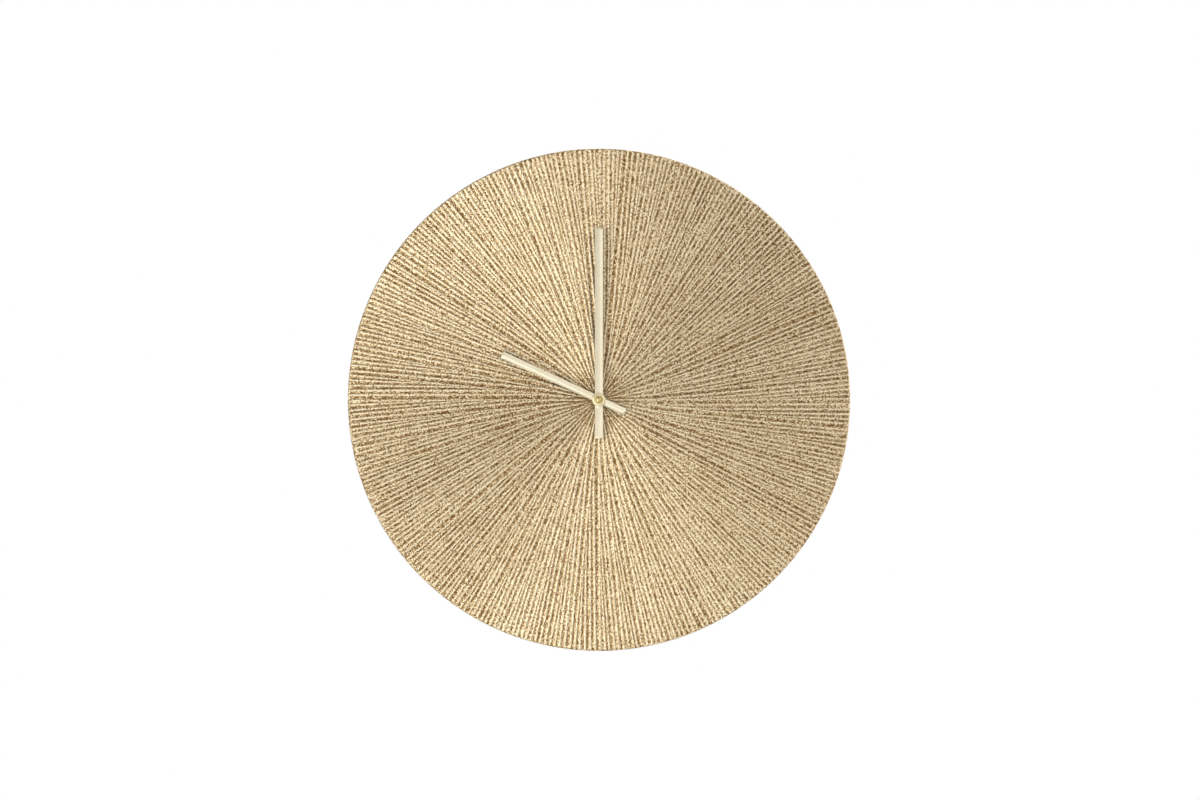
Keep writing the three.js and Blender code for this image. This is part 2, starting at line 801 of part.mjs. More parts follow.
add(movement, "fixing_washer", tube(4.05, 5.5, -25.62, HUB_Y - 0.02, 16), NUT_BRASS);
add(movement, "fixing_nut", hexNut(), NUT_BRASS);
add(movement, "rubber_gasket", tube(4.05, 12, DISC_BACK + 0.02, FRONT_Y - 0.02, 16), RUBBER);
add(movement, "movement_front", movementFront(), BLACK_PLASTIC);
add(movement, "movement_case", movementCase(), BLACK_PLASTIC);
add(movement, "train_bridge", trainBridge(), WHITE_PLASTIC);
add(movement, "hour_wheel", hourWheel(), WHITE_PLASTIC);
add(movement, "cannon_pinion", cannonPinion(), NUT_BRASS);
add(movement, "motion_wheel", motionWheel(), WHITE_PLASTIC);
add(movement, "setting_knob", settingKnob(), WHITE_PLASTIC);
add(movement, "minute_wheel", minuteWheel(), WHITE_PLASTIC);
add(movement, "third_wheel", thirdWheel(), WHITE_PLASTIC);
add(movement, "seconds_wheel", secondsWheel(), WHITE_PLASTIC);
add(movement, "fifth_wheel", fifthWheel(), WHITE_PLASTIC);
add(movement, "rotor", rotor(), WHITE_PLASTIC);
add(movement, "rotor_magnet", rotorMagnet(), MAGNET);
add(movement, "stator", stator(), ZINC);
add(movement, "coil_core", coilCore(), ZINC);
add(movement, "coil_bobbin", coilBobbin(), WHITE_PLASTIC);
add(movement, "coil_winding", coilWinding(), COPPER);
STATOR_SCREWS.forEach((at, k) => add(movement, `stator_screw_${k + 1}`, statorScrew(at), STEEL));
add(movement, "circuit_board", circuitBoard(), BOARD_GREEN);
add(movement, "quartz_crystal", quartzCrystal(), STEEL);
add(movement, "timer_chip", timerChip(), BLACK_PLASTIC);
add(movement, "contact_negative", contactNegative(), STEEL);
add(movement, "contact_positive", contactPositive(), STEEL);

add(cell, "cell_can", cellCan(), STEEL);
add(cell, "cell_sleeve", cellSleeve(), SLEEVE);

add(hanging, "hanger_plate", hangerPlate(), ZINC);
for (const [side, label] of [[-1, "left"], [1, "right"]]) {
  add(hanging, `hanger_spacer_${label}`, hangerSpacer(side), ZINC);
  add(hanging, `hanger_screw_${label}`, hangerScrew(side), STEEL);
}
BUMPER_ANGLES.forEach((degrees, k) => {
  add(hanging, `bumper_${k + 1}`, bumper(degrees), RUBBER);
  add(hanging, `bumper_screw_${k + 1}`, bumperScrew(degrees), STEEL);
});

export default clock;
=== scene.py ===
"""Looks of the sunburst wall clock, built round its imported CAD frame."""

import json
import math

import bmesh
import bpy
import numpy as np
from mathutils import Matrix, Vector


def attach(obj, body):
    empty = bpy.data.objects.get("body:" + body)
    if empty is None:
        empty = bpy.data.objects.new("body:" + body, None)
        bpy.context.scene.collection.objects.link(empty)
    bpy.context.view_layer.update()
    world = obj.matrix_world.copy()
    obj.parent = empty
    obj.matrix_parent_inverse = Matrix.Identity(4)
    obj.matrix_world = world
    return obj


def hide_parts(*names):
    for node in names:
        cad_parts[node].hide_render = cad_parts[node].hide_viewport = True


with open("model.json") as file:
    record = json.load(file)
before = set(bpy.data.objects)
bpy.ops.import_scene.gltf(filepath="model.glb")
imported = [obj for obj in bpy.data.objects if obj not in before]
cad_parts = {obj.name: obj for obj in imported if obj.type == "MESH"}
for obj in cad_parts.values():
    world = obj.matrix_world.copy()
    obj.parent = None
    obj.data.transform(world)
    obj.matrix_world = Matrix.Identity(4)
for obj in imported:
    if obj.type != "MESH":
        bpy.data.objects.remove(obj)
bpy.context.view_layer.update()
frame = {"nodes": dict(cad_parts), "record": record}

# Sizes are in millimetres unless a name or comment says otherwise.
MM = 0.001
FULL_TURN = 2 * math.pi
CREASE = 32  # degrees; an edge sharper than this stays sharp
CLEAR = 1.0  # how far a cutter stands out of the surface it cuts
EASE_STEPS = 3
EASE_ANGLE = 40  # degrees; sharper edges are rounded
FLAT_WEIGHT = 80  # how strongly large faces set the shading of their edges
TINY = 1e-6
SEED = 7

# ---------- dial ----------
DISC_R = 225.0
DISC_BACK = -20.0
CREST_Y = -25.7
SEAT_R = 5.9  # flat seat of the washer
SEAT_Y = -25.1
SEAT_SLOPE_R = 6.4  # the front rises from the seat to full height from here
SEAT_SLOPE = 3.0
HOLE_R = 4.3
RIB_END_R = 223.7
RIM_PROFILE = ((224.1, -24.85), (224.55, -24.5), (225.0, -23.6), (225.0, -20.7))
BACK_BEVEL = 0.7
BACK_RING_R = (200.0, 150.0, 100.0, 50.0, 20.0)
BACK_SIDES = 120
EDGE_SIDES = 240
BORE_SIDES = 48

# ribs: one starts each wedge, and the others branch off further out
WEDGES = 64
BRANCH_R = (144.0, 114.0, 82.0, 46.0)  # in angle order inside a wedge
RIM_FRACTION = (0.2, 0.4, 0.6, 0.8)  # where the branches end, across a wedge
BRANCHES = len(BRANCH_R)
WEDGE_RIBS = 1 + BRANCHES
RIBS = WEDGES * WEDGE_RIBS
HUB_RIBS_MEET_R = 22.0  # every other wedge's first rib starts here
HUB_RIBS_FADE = 7.0

# valleys between the ribs
VALLEY_DEPTH = 1.0
DEPTH_SHARE = 0.27  # most depth of a valley, as a part of the gap between crests
ACROSS = (0.0, 0.085, 0.23, 0.5, 0.77, 0.915)  # sample places between two crests
CREST_REACH = 1.9  # from a crest down to the valley floor
REACH_SHARE = 0.47  # most of that reach, as a part of the gap
CLOSED_GAP = 0.05  # two crests nearer than this are one

# how far the hand-made pattern strays
BRANCH_START_STRAY = 9.0
RIB_STRAY = 0.035  # of a wedge
BRANCH_STRAY = 0.016  # of a wedge
WANDER = 0.00007  # of a turn
WANDER_STEP = 45.0
LIFT = 0.09
LIFT_STEP = 22.0
LIFT_SHARE = 0.6
LIFT_FULL_GAP = 2.0
GRAIN_HEIGHT = 0.05
GRAIN_FULL_GAP = 2.5
GRAIN_ON_CREST = 0.4

# rows of points on the ribs, from the seat to the rim
SEAT_RING_R = (SEAT_SLOPE_R, 7.2)
HUB_RING_START_R = 8.5
HUB_RING_STEP = 2.2
SPAN_RINGS = (8, 10, 8, 7)  # between the radii where ribs start
RIM_RINGS = 20

# the "crest" value that the brass reads: 1 on a crest's buffed line, 0 or less in a valley
RIM_TONE = 0.3
CREST_EDGE = 2.0  # over 1, the buffed line is narrower than the crest
HUB_CREST_EDGE = 0.8
CREST_EDGE_R = (14.0, 30.0)  # start and length of the change between the two
HUB_SHADE = 0.2  # extra darkness of the valleys at the hub
HUB_SHADE_R = (8.0, 34.0)  # start and length of its fading
VALLEY_SHADE = (-0.04, 0.26)  # least and most darkness of a valley

# how far each layer moves the brass between its dark and its pale tone
CREST_SHARE = 0.94
PEARL_GAIN = 3.8
LEVEL_START = 0.26
BEAD_TONE = 2.7
BLOTCH_TONE = 0.45
GRAIN_TONE = 4.6

# ---------- hands ----------
HOUR_HAND = {
    "half_width": 3.15,
    "tail": 25.9,
    "tip": 95.8,
    "back": -28.6,
    "thick": 1.0,
    "bevel_side": -1,
    "bevel": 2.6,
    "bevel_fall": 0.42,
    "collar_r": 3.6,
    "collar_back": -28.06,
    "bore": 2.58,
    "degrees": -65.0,
}
MINUTE_HAND = {
    "half_width": 3.7,
    "tail": 34.7,
    "tip": 153.6,
    "back": -30.2,
    "thick": 1.1,
    "bevel_side": 1,
    "bevel": 0.6,
    "bevel_fall": 0.17,
    "collar_r": 2.8,
    "collar_back": -29.93,
    "bore": 1.65,
    "degrees": 0.0,
}
EASED_EDGE = ((0.0, 0.50), (0.12, 0.84))  # distance from an edge, share of the thickness
END_SLOPE = 0.95  # from a hand's end to its full thickness
CAMBER = 2.4
CAMBER_RISE = 0.985
CROWN = 0.1  # where a blade is highest, as a part of its half width
BAR_ROWS = 24
BAR_ROWS_START = 3.0
BOSS_R = 5.75
BOSS_BACK = ((0.15, 0.0), (0.0, 0.12))  # inset, distance from the blade's back
BOSS_FRONT = ((0.0, -0.4), (0.25, -0.1), (0.65, 0.08), (1.25, 0.17), (1.85, 0.2), (BOSS_R, 0.2))
BOSS_FACE_R = 5.9  # a face that lies within this radius is the boss's
BOSS_SIDES = 72
COLLAR_ROOT = 0.3
COLLAR_SIDES = 48
BORE_AHEAD = 4.0  # how far in front of a hand's back its bore is cut from
HAND_BORE_SIDES = 40

NUT_R = 3.5
NUT_BACK = -31.6
NUT_BORE = 1.3
DOME_R = 3.25
DOME_BASE = -33.0
DOME_RISE = 2.6
DOME_STEPS = 12
NUT_SIDES = 64

# ---------- back ----------
CASE_BACK = -2.5
CASE_EDGE = 0.22
PANEL_BOX = (-22.5, 3.0, 5.0, 22.5)  # x0, z0, x1, z1
PANEL_CORNER = 1.5
PANEL_DEPTH = 0.3
PIN_MARKS = ((-23.6, -6.6), (-23.6, 23.6), (23.6, 23.6))
PIN_MARK_R = 1.5
PIN_MARK_DEPTH = 0.15
PIN_MARK_SIDES = 32
CLIP_X = (27.6, 29.0)
CLIP_Z = (-2.0, 14.0)
CLIP_LENGTH = 6.0
CLIP_Y = (-13.0, -9.5)
MARK_RISE = 0.18  # raised signs on the case
MARK_ROOT = 0.5
ARROW_R = 8.4
ARROW_HALF = 0.45
ARROW_SPAN = (35, 120)  # degrees
ARROW_POINT = 16  # degrees
PLUS_AT = (23.9, -7.3)
PLUS_REACH = 1.3
PLUS_HALF = 0.3
MINUS_BOX = (-19.3, -7.6, -16.7, -7.0)
MINUS_CORNER = 0.1
GRIP_X0 = -19.0
GRIP_X1 = (1.0, 1.0, 1.0, -4.0)
GRIP_Z0 = 6.2
GRIP_PITCH = 4.2
GRIP_WIDTH = 1.1
GRIP_CORNER = 0.4
GRIP_RISE = 0.22
GRIP_ROOT = 0.3

KNOB_AT = (15.5505, -5.1921)
KNOB_EDGE = 0.08
KNOB_GROOVE_R = (5.55, 5.9)
KNOB_GROOVE_DEPTH = 0.35
KNOB_GROOVE_SIDES = 64
FLUTES = 24
FLUTE_RING_R = 5.12
FLUTE_R = 0.36
FLUTE_END = -2.1
FLUTE_SIDES = 12
SLOT_HALF_LENGTH = 3.0
SLOT_HALF_WIDTH = 0.5
SLOT_CORNER = 0.45
SLOT_FLOOR = -0.95

HANGER_Z = 150.0
HANGER_BACK = -2.6
HANGER_EDGE = 0.3
SPACER_EDGE = 0.25
HANGER_SCREWS = (("left", -24.0, -11), ("right", 24.0, 51))  # x, and degrees of the cross
SCREW_TIP = -23.2
SCREW_R = 1.95
SCREW_POINT_R = 1.2
SCREW_POINT = 0.9
SCREW_EDGE = 0.1
SCREW_SIDES = 40
HEAD = ((3.8, 0.02), (3.8, 0.5), (3.72, 0.9), (3.35, 1.4), (2.7, 1.85), (1.7, 2.12), (0, 2.2))
RECESS_REACH = 2.1
RECESS_HALF = 0.42
RECESS_FLOOR = 0.9
RECESS_TOP = 3.0

BUMPER_RING_R = 190.0
BUMPER_TURNS = (45, 135, 225, 315)
BUMPER_SEAT = -8.0
BUMPER_FOOT = -19.98
BUMPER_BORE_R = 2.2
BUMPER_WELL_R = 4.5
BUMPER_SIDES = 56
BUMPER_SCREW_STEP = 37  # degrees from one screw's cross to the next

CELL_AT = (-10.2, -19.0)  # y and z of the cell's own axis
CELL_HALF = 24.6
CELL_R = 7.0
CELL_SIDES = 72
SLEEVE_R = 7.25
SLEEVE_SPAN = 50.0  # the sleeve's print is laid out over this length

# ---------- camera, light and floor, in metres ----------
CAMERA_AWAY = 6.0  # from the dial's front
CAMERA_SIDE = 0.0009
CAMERA_UP = -0.0002
DIAL_FRONT = 0.024
VIEW_WIDTH = 1.0749
SENSOR = 36.0  # of the camera, in millimetres
FLOOR_R = 1.1
FLOOR_Z = -0.47
WORLD_SEEN = ((1.0, 1.0, 1.0, 1), 1.0)  # colour and strength of the backdrop
WORLD_LIGHT = ((1.0, 0.955, 0.895, 1), 0.55)
DIAL_CENTRE = (0, 0, 0)
COOL_WHITE = (0.98, 1.0, 1.02)
# name, place, target, width and height, watts, colour
LIGHTS = (
    ("left", (-1.0, -0.85, -0.5), DIAL_CENTRE, (1.6, 1.8), 4.8, COOL_WHITE),
    ("right", (1.35, -1.1, 0.76), DIAL_CENTRE, (1.5, 1.8), 4.6, COOL_WHITE),
    ("front", (0.75, -3.4, 0.1), DIAL_CENTRE, (1.7, 1.9), 7.0, (0.98, 0.99, 1.0)),
    ("near_left", (-0.5, -0.5, -0.15), (-0.2, 0, 0), (0.3, 0.8), 1.7, (0.98, 1.0, 1.01)),
    ("hour_edge", (-0.30, -1.95, -0.44), (-0.04, 0, 0), (0.35, 0.35), 1.2, (1.0, 1.0, 0.98)),
    ("rim", (1.5, 0.75, 0.1), DIAL_CENTRE, (0.8, 1.6), 7.0, (1.0, 0.98, 0.94)),
    ("behind", (0.5, 1.6, 1.3), DIAL_CENTRE, (1.2, 1.2), 20.0, (1.0, 1.0, 1.0)),
)


# ---------- node materials ----------
class Nodes:
    """Small helper round one material's node tree."""

    def __init__(self, name):
        self.material = bpy.data.materials.new(name)
        self.material.use_nodes = True
        self.tree = self.material.node_tree
        self.shader = self.tree.nodes["Principled BSDF"]
        self.place = self.add("ShaderNodeTexCoord").outputs["Object"]

    def add(self, kind, **settings):
        node = self.tree.nodes.new(kind)
        for key, value in settings.items():
            setattr(node, key, value)
        return node

    def feed(self, socket, value):
        """Sets a socket to a number or a colour, or links it to another node's output."""
        if isinstance(value, (int, float)):
            socket.default_value = value
        elif isinstance(value, tuple):
            socket.default_value = (*value, 1)
        else:
            self.tree.links.new(value, socket)

    def noise(self, size_mm, detail=3.0, roughness=0.55):
        """Noise whose features are about size_mm wide, as a value from 0 to 1."""
        node = self.add("ShaderNodeTexNoise")
        node.inputs["Scale"].default_value = 1000.0 / size_mm
        node.inputs["Detail"].default_value = detail
        node.inputs["Roughness"].default_value = roughness
        self.feed(node.inputs["Vector"], self.place)
        return node.outputs["Fac"]

    def cells(self, size_mm):
        node = self.add("ShaderNodeTexVoronoi")
        node.inputs["Scale"].default_value = 1000.0 / size_mm
        self.feed(node.inputs["Vector"], self.place)
        return node.outputs["Distance"]

    def attribute(self, name):
        node = self.add("ShaderNodeAttribute", attribute_name=name)
        return node.outputs["Fac"]

    def axes(self):
        """The place along X and along Z, in metres."""
        node = self.add("ShaderNodeSeparateXYZ")
        self.feed(node.inputs["Vector"], self.place)
        return node.outputs["X"], node.outputs["Z"]

    def calculate(self, operation, *values):
        node = self.add("ShaderNodeMath", operation=operation)
        for socket, value in zip(node.inputs, values):
            self.feed(socket, value)
        return node.outputs["Value"]

    def scaled(self, value, gain, start):
        """start + gain * value"""
        return self.calculate("MULTIPLY_ADD", value, gain, start)

    def ramp(self, source, stops):
        """Colours (or greys, from numbers) at places along a value."""
        node = self.add("ShaderNodeValToRGB")
        elements = node.color_ramp.elements
        while len(elements) < len(stops):
            elements.new(0.5)
        for element, (place, value) in zip(elements, stops):
            element.position = place
            grey = isinstance(value, (int, float))
            element.color = (value, value, value, 1) if grey else (*value, 1)
        self.feed(node.inputs["Fac"], source)
        return node.outputs["Color"]

    def mix(self, factor, a, b, blend="MIX"):
        node = self.add("ShaderNodeMix", data_type="RGBA", blend_type=blend)
        for socket, value in ((node.inputs[0], factor), (node.inputs[6], a), (node.inputs[7], b)):
            self.feed(socket, value)
        return node.outputs[2]

    def bump(self, layers):
        """Bump from (height, distance in mm, strength) layers, one on another."""
        normal = None
        for height, distance, strength in layers:
            node = self.add("ShaderNodeBump")
            node.inputs["Distance"].default_value = distance * MM
            node.inputs["Strength"].default_value = strength
            self.feed(node.inputs["Height"], height)
            if normal is not None:
                self.feed(node.inputs["Normal"], normal)
            normal = node.outputs["Normal"]
        self.feed(self.shader.inputs["Normal"], normal)

    def surface(self, color, roughness, metallic=0.0, coat=0.0):
        self.feed(self.shader.inputs["Base Color"], color)
        self.feed(self.shader.inputs["Roughness"], roughness)
        self.feed(self.shader.inputs["Metallic"], metallic)
        self.feed(self.shader.inputs["Coat Weight"], coat)
        return self.material


def cast_brass():
    """Antique brass on a sand casting: pale beaded crests, darker and smoother valleys."""
    n = Nodes("cast_brass")
    crest = n.attribute("crest")
    beads = n.noise(1.4, 2.0, roughness=0.6)
    pearls = n.noise(1.5, 0.0)
    grain = n.noise(1.15, 2.0, roughness=0.7)
    blotch = n.noise(3.0, 3.0)
    patches = n.noise(60.0, 3.0)
    beaded = n.scaled(pearls, PEARL_GAIN, 1.0 - 0.5 * PEARL_GAIN)
    level = n.scaled(n.calculate("MULTIPLY", crest, beaded), CREST_SHARE, LEVEL_START)
    for source, strength in ((beads, BEAD_TONE), (blotch, BLOTCH_TONE), (grain, GRAIN_TONE)):
        swing = n.scaled(source, strength, -0.5 * strength)
        level = n.calculate("ADD", level, swing)
    tone = n.ramp(
        level,
        [
            (0.0, (0.18, 0.095, 0.032)),
            (0.28, (0.49, 0.325, 0.142)),
            (0.6, (0.85, 0.680, 0.43)),
            (1.0, (1.0, 0.92, 0.71)),
        ],
    )
    cloud = n.ramp(patches, [(0.35, (0.95, 0.93, 0.90)), (0.65, (1.0, 1.0, 1.0))])
    tone = n.mix(1.0, tone, cloud, "MULTIPLY")
    rough = n.ramp(level, [(0.1, 0.42), (0.9, 0.56)])
    n.bump([(beads, 0.2, 1.0), (pearls, 0.1, 0.8), (grain, 0.11, 0.9)])
    return n.surface(tone, rough, 1.0)


def cast_back():
    """The faced back of the casting: dull brass with turning marks and small pits."""
    radians_per_metre = 5200.0
    wobble_reach = 2.0 * MM
    n = Nodes("cast_back")
    x, z = n.axes()
    squares = n.calculate("ADD", n.calculate("MULTIPLY", x, x), n.calculate("MULTIPLY", z, z))
    radius = n.calculate("SQRT", squares)
    wobbly = n.calculate("ADD", radius, n.calculate("MULTIPLY", n.noise(40.0, 2.0), wobble_reach))
    turning = n.calculate("SINE", n.calculate("MULTIPLY", wobbly, radians_per_metre))
    grain = n.noise(0.9, 4.0, roughness=0.7)
    patches = n.noise(45.0, 5.0)
    pits = n.ramp(n.cells(3.2), [(0.06, 0.0), (0.16, 1.0)])
    tone = n.ramp(patches, [(0.3, (0.40, 0.30, 0.165)), (0.7, (0.50, 0.39, 0.23))])
    tone = n.mix(1.0, tone, n.ramp(pits, [(0.0, 0.55), (1.0, 1.0)]), "MULTIPLY")
    rough = n.ramp(grain, [(0.3, 0.40), (0.7, 0.60)])
    n.bump([(pits, 0.15, 0.7), (turning, 0.03, 0.5), (grain, 0.14, 0.7)])
    return n.surface(tone, rough, 1.0)


def hand_brass():
    """Pale satin brass of the hands."""
    n = Nodes("hand_brass")
    brushed = n.noise(0.25, 2.0)
    haze = n.noise(14.0, 2.0)
    tone = n.ramp(haze, [(0.3, (0.83, 0.75, 0.56)), (0.7, (0.88, 0.805, 0.625))])
    rough = n.ramp(brushed, [(0.2, 0.24), (0.8, 0.34)])
    n.bump([(brushed, 0.006, 0.2)])
    return n.surface(tone, rough, 1.0)


def boss_brass():
    """The turned boss of a hand, a little yellower than the blade."""
    n = Nodes("boss_brass")
    haze = n.noise(4.0, 2.0)
    tone = n.ramp(haze, [(0.3, (0.80, 0.70, 0.40)), (0.7, (0.88, 0.78, 0.48))])
    rough = n.ramp(n.noise(0.3, 2.0), [(0.2, 0.26), (0.8, 0.36)])
    n.bump([(haze, 0.01, 0.3)])
    return n.surface(tone, rough, 1.0)


def painted_shade_back():
    """The back of a hand in near-black brown: painted shade for the dark gap between hand and dial,
    which darkens what the dial's ribs reflect beside the hand.
    """
    n = Nodes("painted_shade_back")
    # painted shade: near-black brown standing in for the shaded gap behind the hand
    tone = n.ramp(n.noise(6.0, 3.0), [(0.3, (0.030, 0.017, 0.008)), (0.7, (0.050, 0.029, 0.014))])
    n.bump([(n.noise(0.5, 2.0), 0.01, 0.5)])
    return n.surface(tone, n.ramp(n.noise(1.2, 2.0), [(0.3, 0.5), (0.7, 0.7)]), 0.0)


def polished_brass():
    """The bright yellow brass of the cap nut."""
    n = Nodes("polished_brass")
    haze = n.noise(3.0, 3.0)
    tone = n.ramp(haze, [(0.3, (0.60, 0.49, 0.20)), (0.7, (0.72, 0.60, 0.29))])
    rough = n.ramp(haze, [(0.3, 0.20), (0.7, 0.32)])
    n.bump([(n.noise(0.4, 2.0), 0.01, 0.3)])
    return n.surface(tone, rough, 1.0)


def bright_steel():
    """Steel with faint scratches."""
    n = Nodes("bright_steel")
    scratch = n.noise(0.5, 3.0)
    tone = n.ramp(n.noise(4.0, 3.0), [(0.3, (0.55, 0.55, 0.56)), (0.7, (0.68, 0.68, 0.69))])
    rough = n.ramp(scratch, [(0.3, 0.22), (0.7, 0.36)])
    n.bump([(scratch, 0.02, 0.4)])
    return n.surface(tone, rough, 1.0)


def zinc_plate():
    """Zinc-plated sheet with faint spangle."""
    n = Nodes("zinc_plate")
    spangle = n.cells(5.0)
    tone = n.ramp(spangle, [(0.1, (0.50, 0.51, 0.53)), (0.7, (0.62, 0.63, 0.64))])
    rough = n.ramp(n.noise(1.2, 4.0), [(0.3, 0.34), (0.7, 0.50)])
    n.bump([(n.noise(0.6, 3.0), 0.02, 0.5)])
    return n.surface(tone, rough, 1.0)


def copper_wire():
    """Fine wire wound side by side along X."""
    n = Nodes("copper_wire")
    wave = n.add("ShaderNodeTexWave", wave_type="BANDS", bands_direction="X")
    wave.inputs["Scale"].default_value = 1600.0
    n.feed(wave.inputs["Vector"], n.place)
    tone = n.ramp(wave.outputs["Fac"], [(0.1, (0.32, 0.11, 0.045)), (0.8, (0.62, 0.26, 0.12))])
    n.bump([(wave.outputs["Fac"], 0.08, 0.9)])
    return n.surface(tone, 0.32, 1.0)


def moulded(name, dark, light, grain_mm=0.7, rough=(0.42, 0.6)):
    """Moulded plastic or rubber with a fine texture."""
    n = Nodes(name)
    grain = n.noise(grain_mm, 3.0)
    tone = n.ramp(n.noise(18.0, 3.0), [(0.3, dark), (0.7, light)])
    n.bump([(grain, 0.05, 0.6)])
    return n.surface(tone, n.ramp(grain, [(0.3, rough[0]), (0.7, rough[1])]), 0.0)


def circuit_green():
    """Solder mask with a pattern of tracks showing through."""
    n = Nodes("circuit_green")
    bricks = n.add("ShaderNodeTexBrick")
    bricks.inputs["Scale"].default_value = 260.0
    bricks.inputs["Mortar Size"].default_value = 0.06
    turned = n.add("ShaderNodeMapping")
    turned.inputs["Rotation"].default_value = (math.pi / 2, 0, 0)
    n.feed(turned.inputs["Vector"], n.place)
    n.feed(bricks.inputs["Vector"], turned.outputs["Vector"])
    tone = n.mix(bricks.outputs["Fac"], (0.02, 0.13, 0.05), (0.05, 0.24, 0.09))
    n.bump([(bricks.outputs["Fac"], 0.04, 0.4)])
    return n.surface(tone, 0.35, 0.0)


def cell_sleeve():
    """Plain printed sleeve of the cell: dark body with a copper-coloured end."""
    n = Nodes("cell_sleeve")
    x, _ = n.axes()
    along = n.scaled(x, 1.0 / (SLEEVE_SPAN * MM), 0.5)
    tone = n.ramp(
        along,
        [
            (0.0, (0.012, 0.014, 0.018)),
            (0.70, (0.014, 0.016, 0.02)),
            (0.705, (0.75, 0.75, 0.75)),
            (0.725, (0.62, 0.31, 0.12)),
            (1.0, (0.66, 0.34, 0.14)),
        ],
    )
    n.bump([(n.noise(2.0, 2.0), 0.02, 0.3)])
    return n.surface(tone, 0.22, 0.0, coat=0.5)


def pale_floor():
    n = Nodes("pale_floor")
    tone = n.ramp(n.noise(300.0, 2.0), [(0.3, (0.80, 0.80, 0.79)), (0.7, (0.84, 0.84, 0.83))])
    return n.surface(tone, 0.7, 0.0)


MATERIALS = {
    "cast_brass": cast_brass(),
    "hand_brass": hand_brass(),
    "nut_brass": polished_brass(),
    "steel": bright_steel(),
    "zinc": zinc_plate(),
    "copper": copper_wire(),
    "rubber": moulded("rubber", (0.010, 0.010, 0.011), (0.018, 0.018, 0.019), 1.1, (0.62, 0.8)),
    "black_plastic": moulded("black_plastic", (0.013, 0.013, 0.015), (0.020, 0.020, 0.022)),
    "white_plastic": moulded("white_plastic", (0.70, 0.68, 0.61), (0.77, 0.75, 0.68), 1.0),
    "board_green": circuit_green(),
    "magnet": moulded("magnet", (0.045, 0.045, 0.05), (0.07, 0.07, 0.075), 0.5, (0.4, 0.55)),
    "cell_metal": bright_steel(),
    "cell_print": cell_sleeve(),
}
CAST_BACK = cast_back()
# near-black painted shade for the backs of the hands
PAINTED_SHADE_BACK = painted_shade_back()
BOSS_BRASS = boss_brass()


# ---------- mesh helpers ----------
def smoothed(mesh):
    mesh.shade_smooth()
    mesh.set_sharp_from_angle(angle=math.radians(CREASE))


def new_object(name, mesh, body, slot, node):
    """A finished piece: material, body, slot and the CAD node it stands for."""
    piece = bpy.data.objects.new(name, mesh)
    bpy.context.scene.collection.objects.link(piece)
    if not mesh.materials:
        mesh.materials.append(MATERIALS[slot])
    smoothed(mesh)
    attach(piece, body)
    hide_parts(node)
    return piece


def mesh_from(name, points_mm, faces):
    mesh = bpy.data.meshes.new(name)
    mesh.from_pydata([(x * MM, y * MM, z * MM) for x, y, z in points_mm], [], faces)
    mesh.update()
    return mesh


def face_outward(mesh):
    bm = bmesh.new()
    bm.from_mesh(mesh)
    bmesh.ops.recalc_face_normals(bm, faces=bm.faces)
    bm.to_mesh(mesh)
    bm.free()
    mesh.update()


def without_doubled_corners(quads):
    """The faces that keep three or four corners once doubled ones are left out."""
    faces = [list(dict.fromkeys(quad)) for quad in quads]
    return [face for face in faces if len(face) > 2]


def lathe(name, profile, sides, at=(0.0, 0.0), axis="Y"):
    """A closed body: (radius, place) points turned about the Y or X axis through `at`."""
    points = []
    rings = []
    for r, along in profile:
        ring = []
        for k in range(1 if r == 0 else sides):
            a = FULL_TURN * k / sides
            u, v = at[0] + r * math.cos(a), at[1] + r * math.sin(a)
            ring.append(len(points))
            points.append((u, along, v) if axis == "Y" else (along, u, v))
        rings.append(ring)
    pairs = list(zip(rings, rings[1:]))
    if profile[0][0] != 0:
        pairs.append((rings[-1], rings[0]))
    quads = []
    for a, b in pairs:
        for k in range(sides):
            n = (k + 1) % sides
            quads.append([a[k % len(a)], a[n % len(a)], b[n % len(b)], b[k % len(b)]])
    mesh = mesh_from(name, points, without_doubled_corners(quads))
    face_outward(mesh)
    return mesh


def prism(name, outline, y0, y1):
    """A closed body with an (x, z) outline between two depths."""
    count = len(outline)
    points = [(x, y0, z) for x, z in outline] + [(x, y1, z) for x, z in outline]
    faces = [list(range(count)), list(range(2 * count - 1, count - 1, -1))]
    for k in range(count):
        n = (k + 1) % count
        faces.append([k, k + count, n + count, n])
    mesh = mesh_from(name, points, faces)
    face_outward(mesh)
    return mesh


def joined(name, base, tools, operation="UNION"):
    """base with each tool mesh joined to it or cut from it."""
    holder = bpy.data.objects.new(name + "_base", base)
    bpy.context.scene.collection.objects.link(holder)
    extra = []
    for k, tool in enumerate(tools):
        other = bpy.data.objects.new(f"{name}_tool{k}", tool)
        bpy.context.scene.collection.objects.link(other)
        modifier = holder.modifiers.new("join", "BOOLEAN")
        modifier.operation = operation
        modifier.solver = "EXACT"
        modifier.object = other
        extra.append(other)
    bpy.context.view_layer.update()
    graph = bpy.context.evaluated_depsgraph_get()
    mesh = bpy.data.meshes.new_from_object(holder.evaluated_get(graph))
    for leftover in [holder, *extra]:
        bpy.data.objects.remove(leftover)
    mesh.name = name
    return mesh


def ease(piece, width):
    """Rounded edges, and flat shading of the large faces between them."""
    modifier = piece.modifiers.new("ease", "BEVEL")
    modifier.width = width * MM
    modifier.segments = EASE_STEPS
    modifier.limit_method = "ANGLE"
    modifier.angle_limit = math.radians(EASE_ANGLE)
    modifier.harden_normals = True
    flatten = piece.modifiers.new("flatten", "WEIGHTED_NORMAL")
    flatten.weight = FLAT_WEIGHT
    flatten.keep_sharp = True


def worked(node, body, slot, edge, cuts=(), adds=()):
    """The CAD node with more detail worked into it and its edges eased."""
    mesh = frame["nodes"][node].data.copy()
    if cuts:
        mesh = joined(node + "_cut", mesh, cuts, "DIFFERENCE")
    if adds:
        mesh = joined(node + "_full", mesh, adds)
    mesh.materials.clear()
    ease(new_object(node + "_piece", mesh, body, slot, node), edge)


# ---------- dial ----------
def share_of(values, start, length):
    """0 up to start, 1 from start + length on."""
    return np.clip((values - start) / length, 0.0, 1.0)


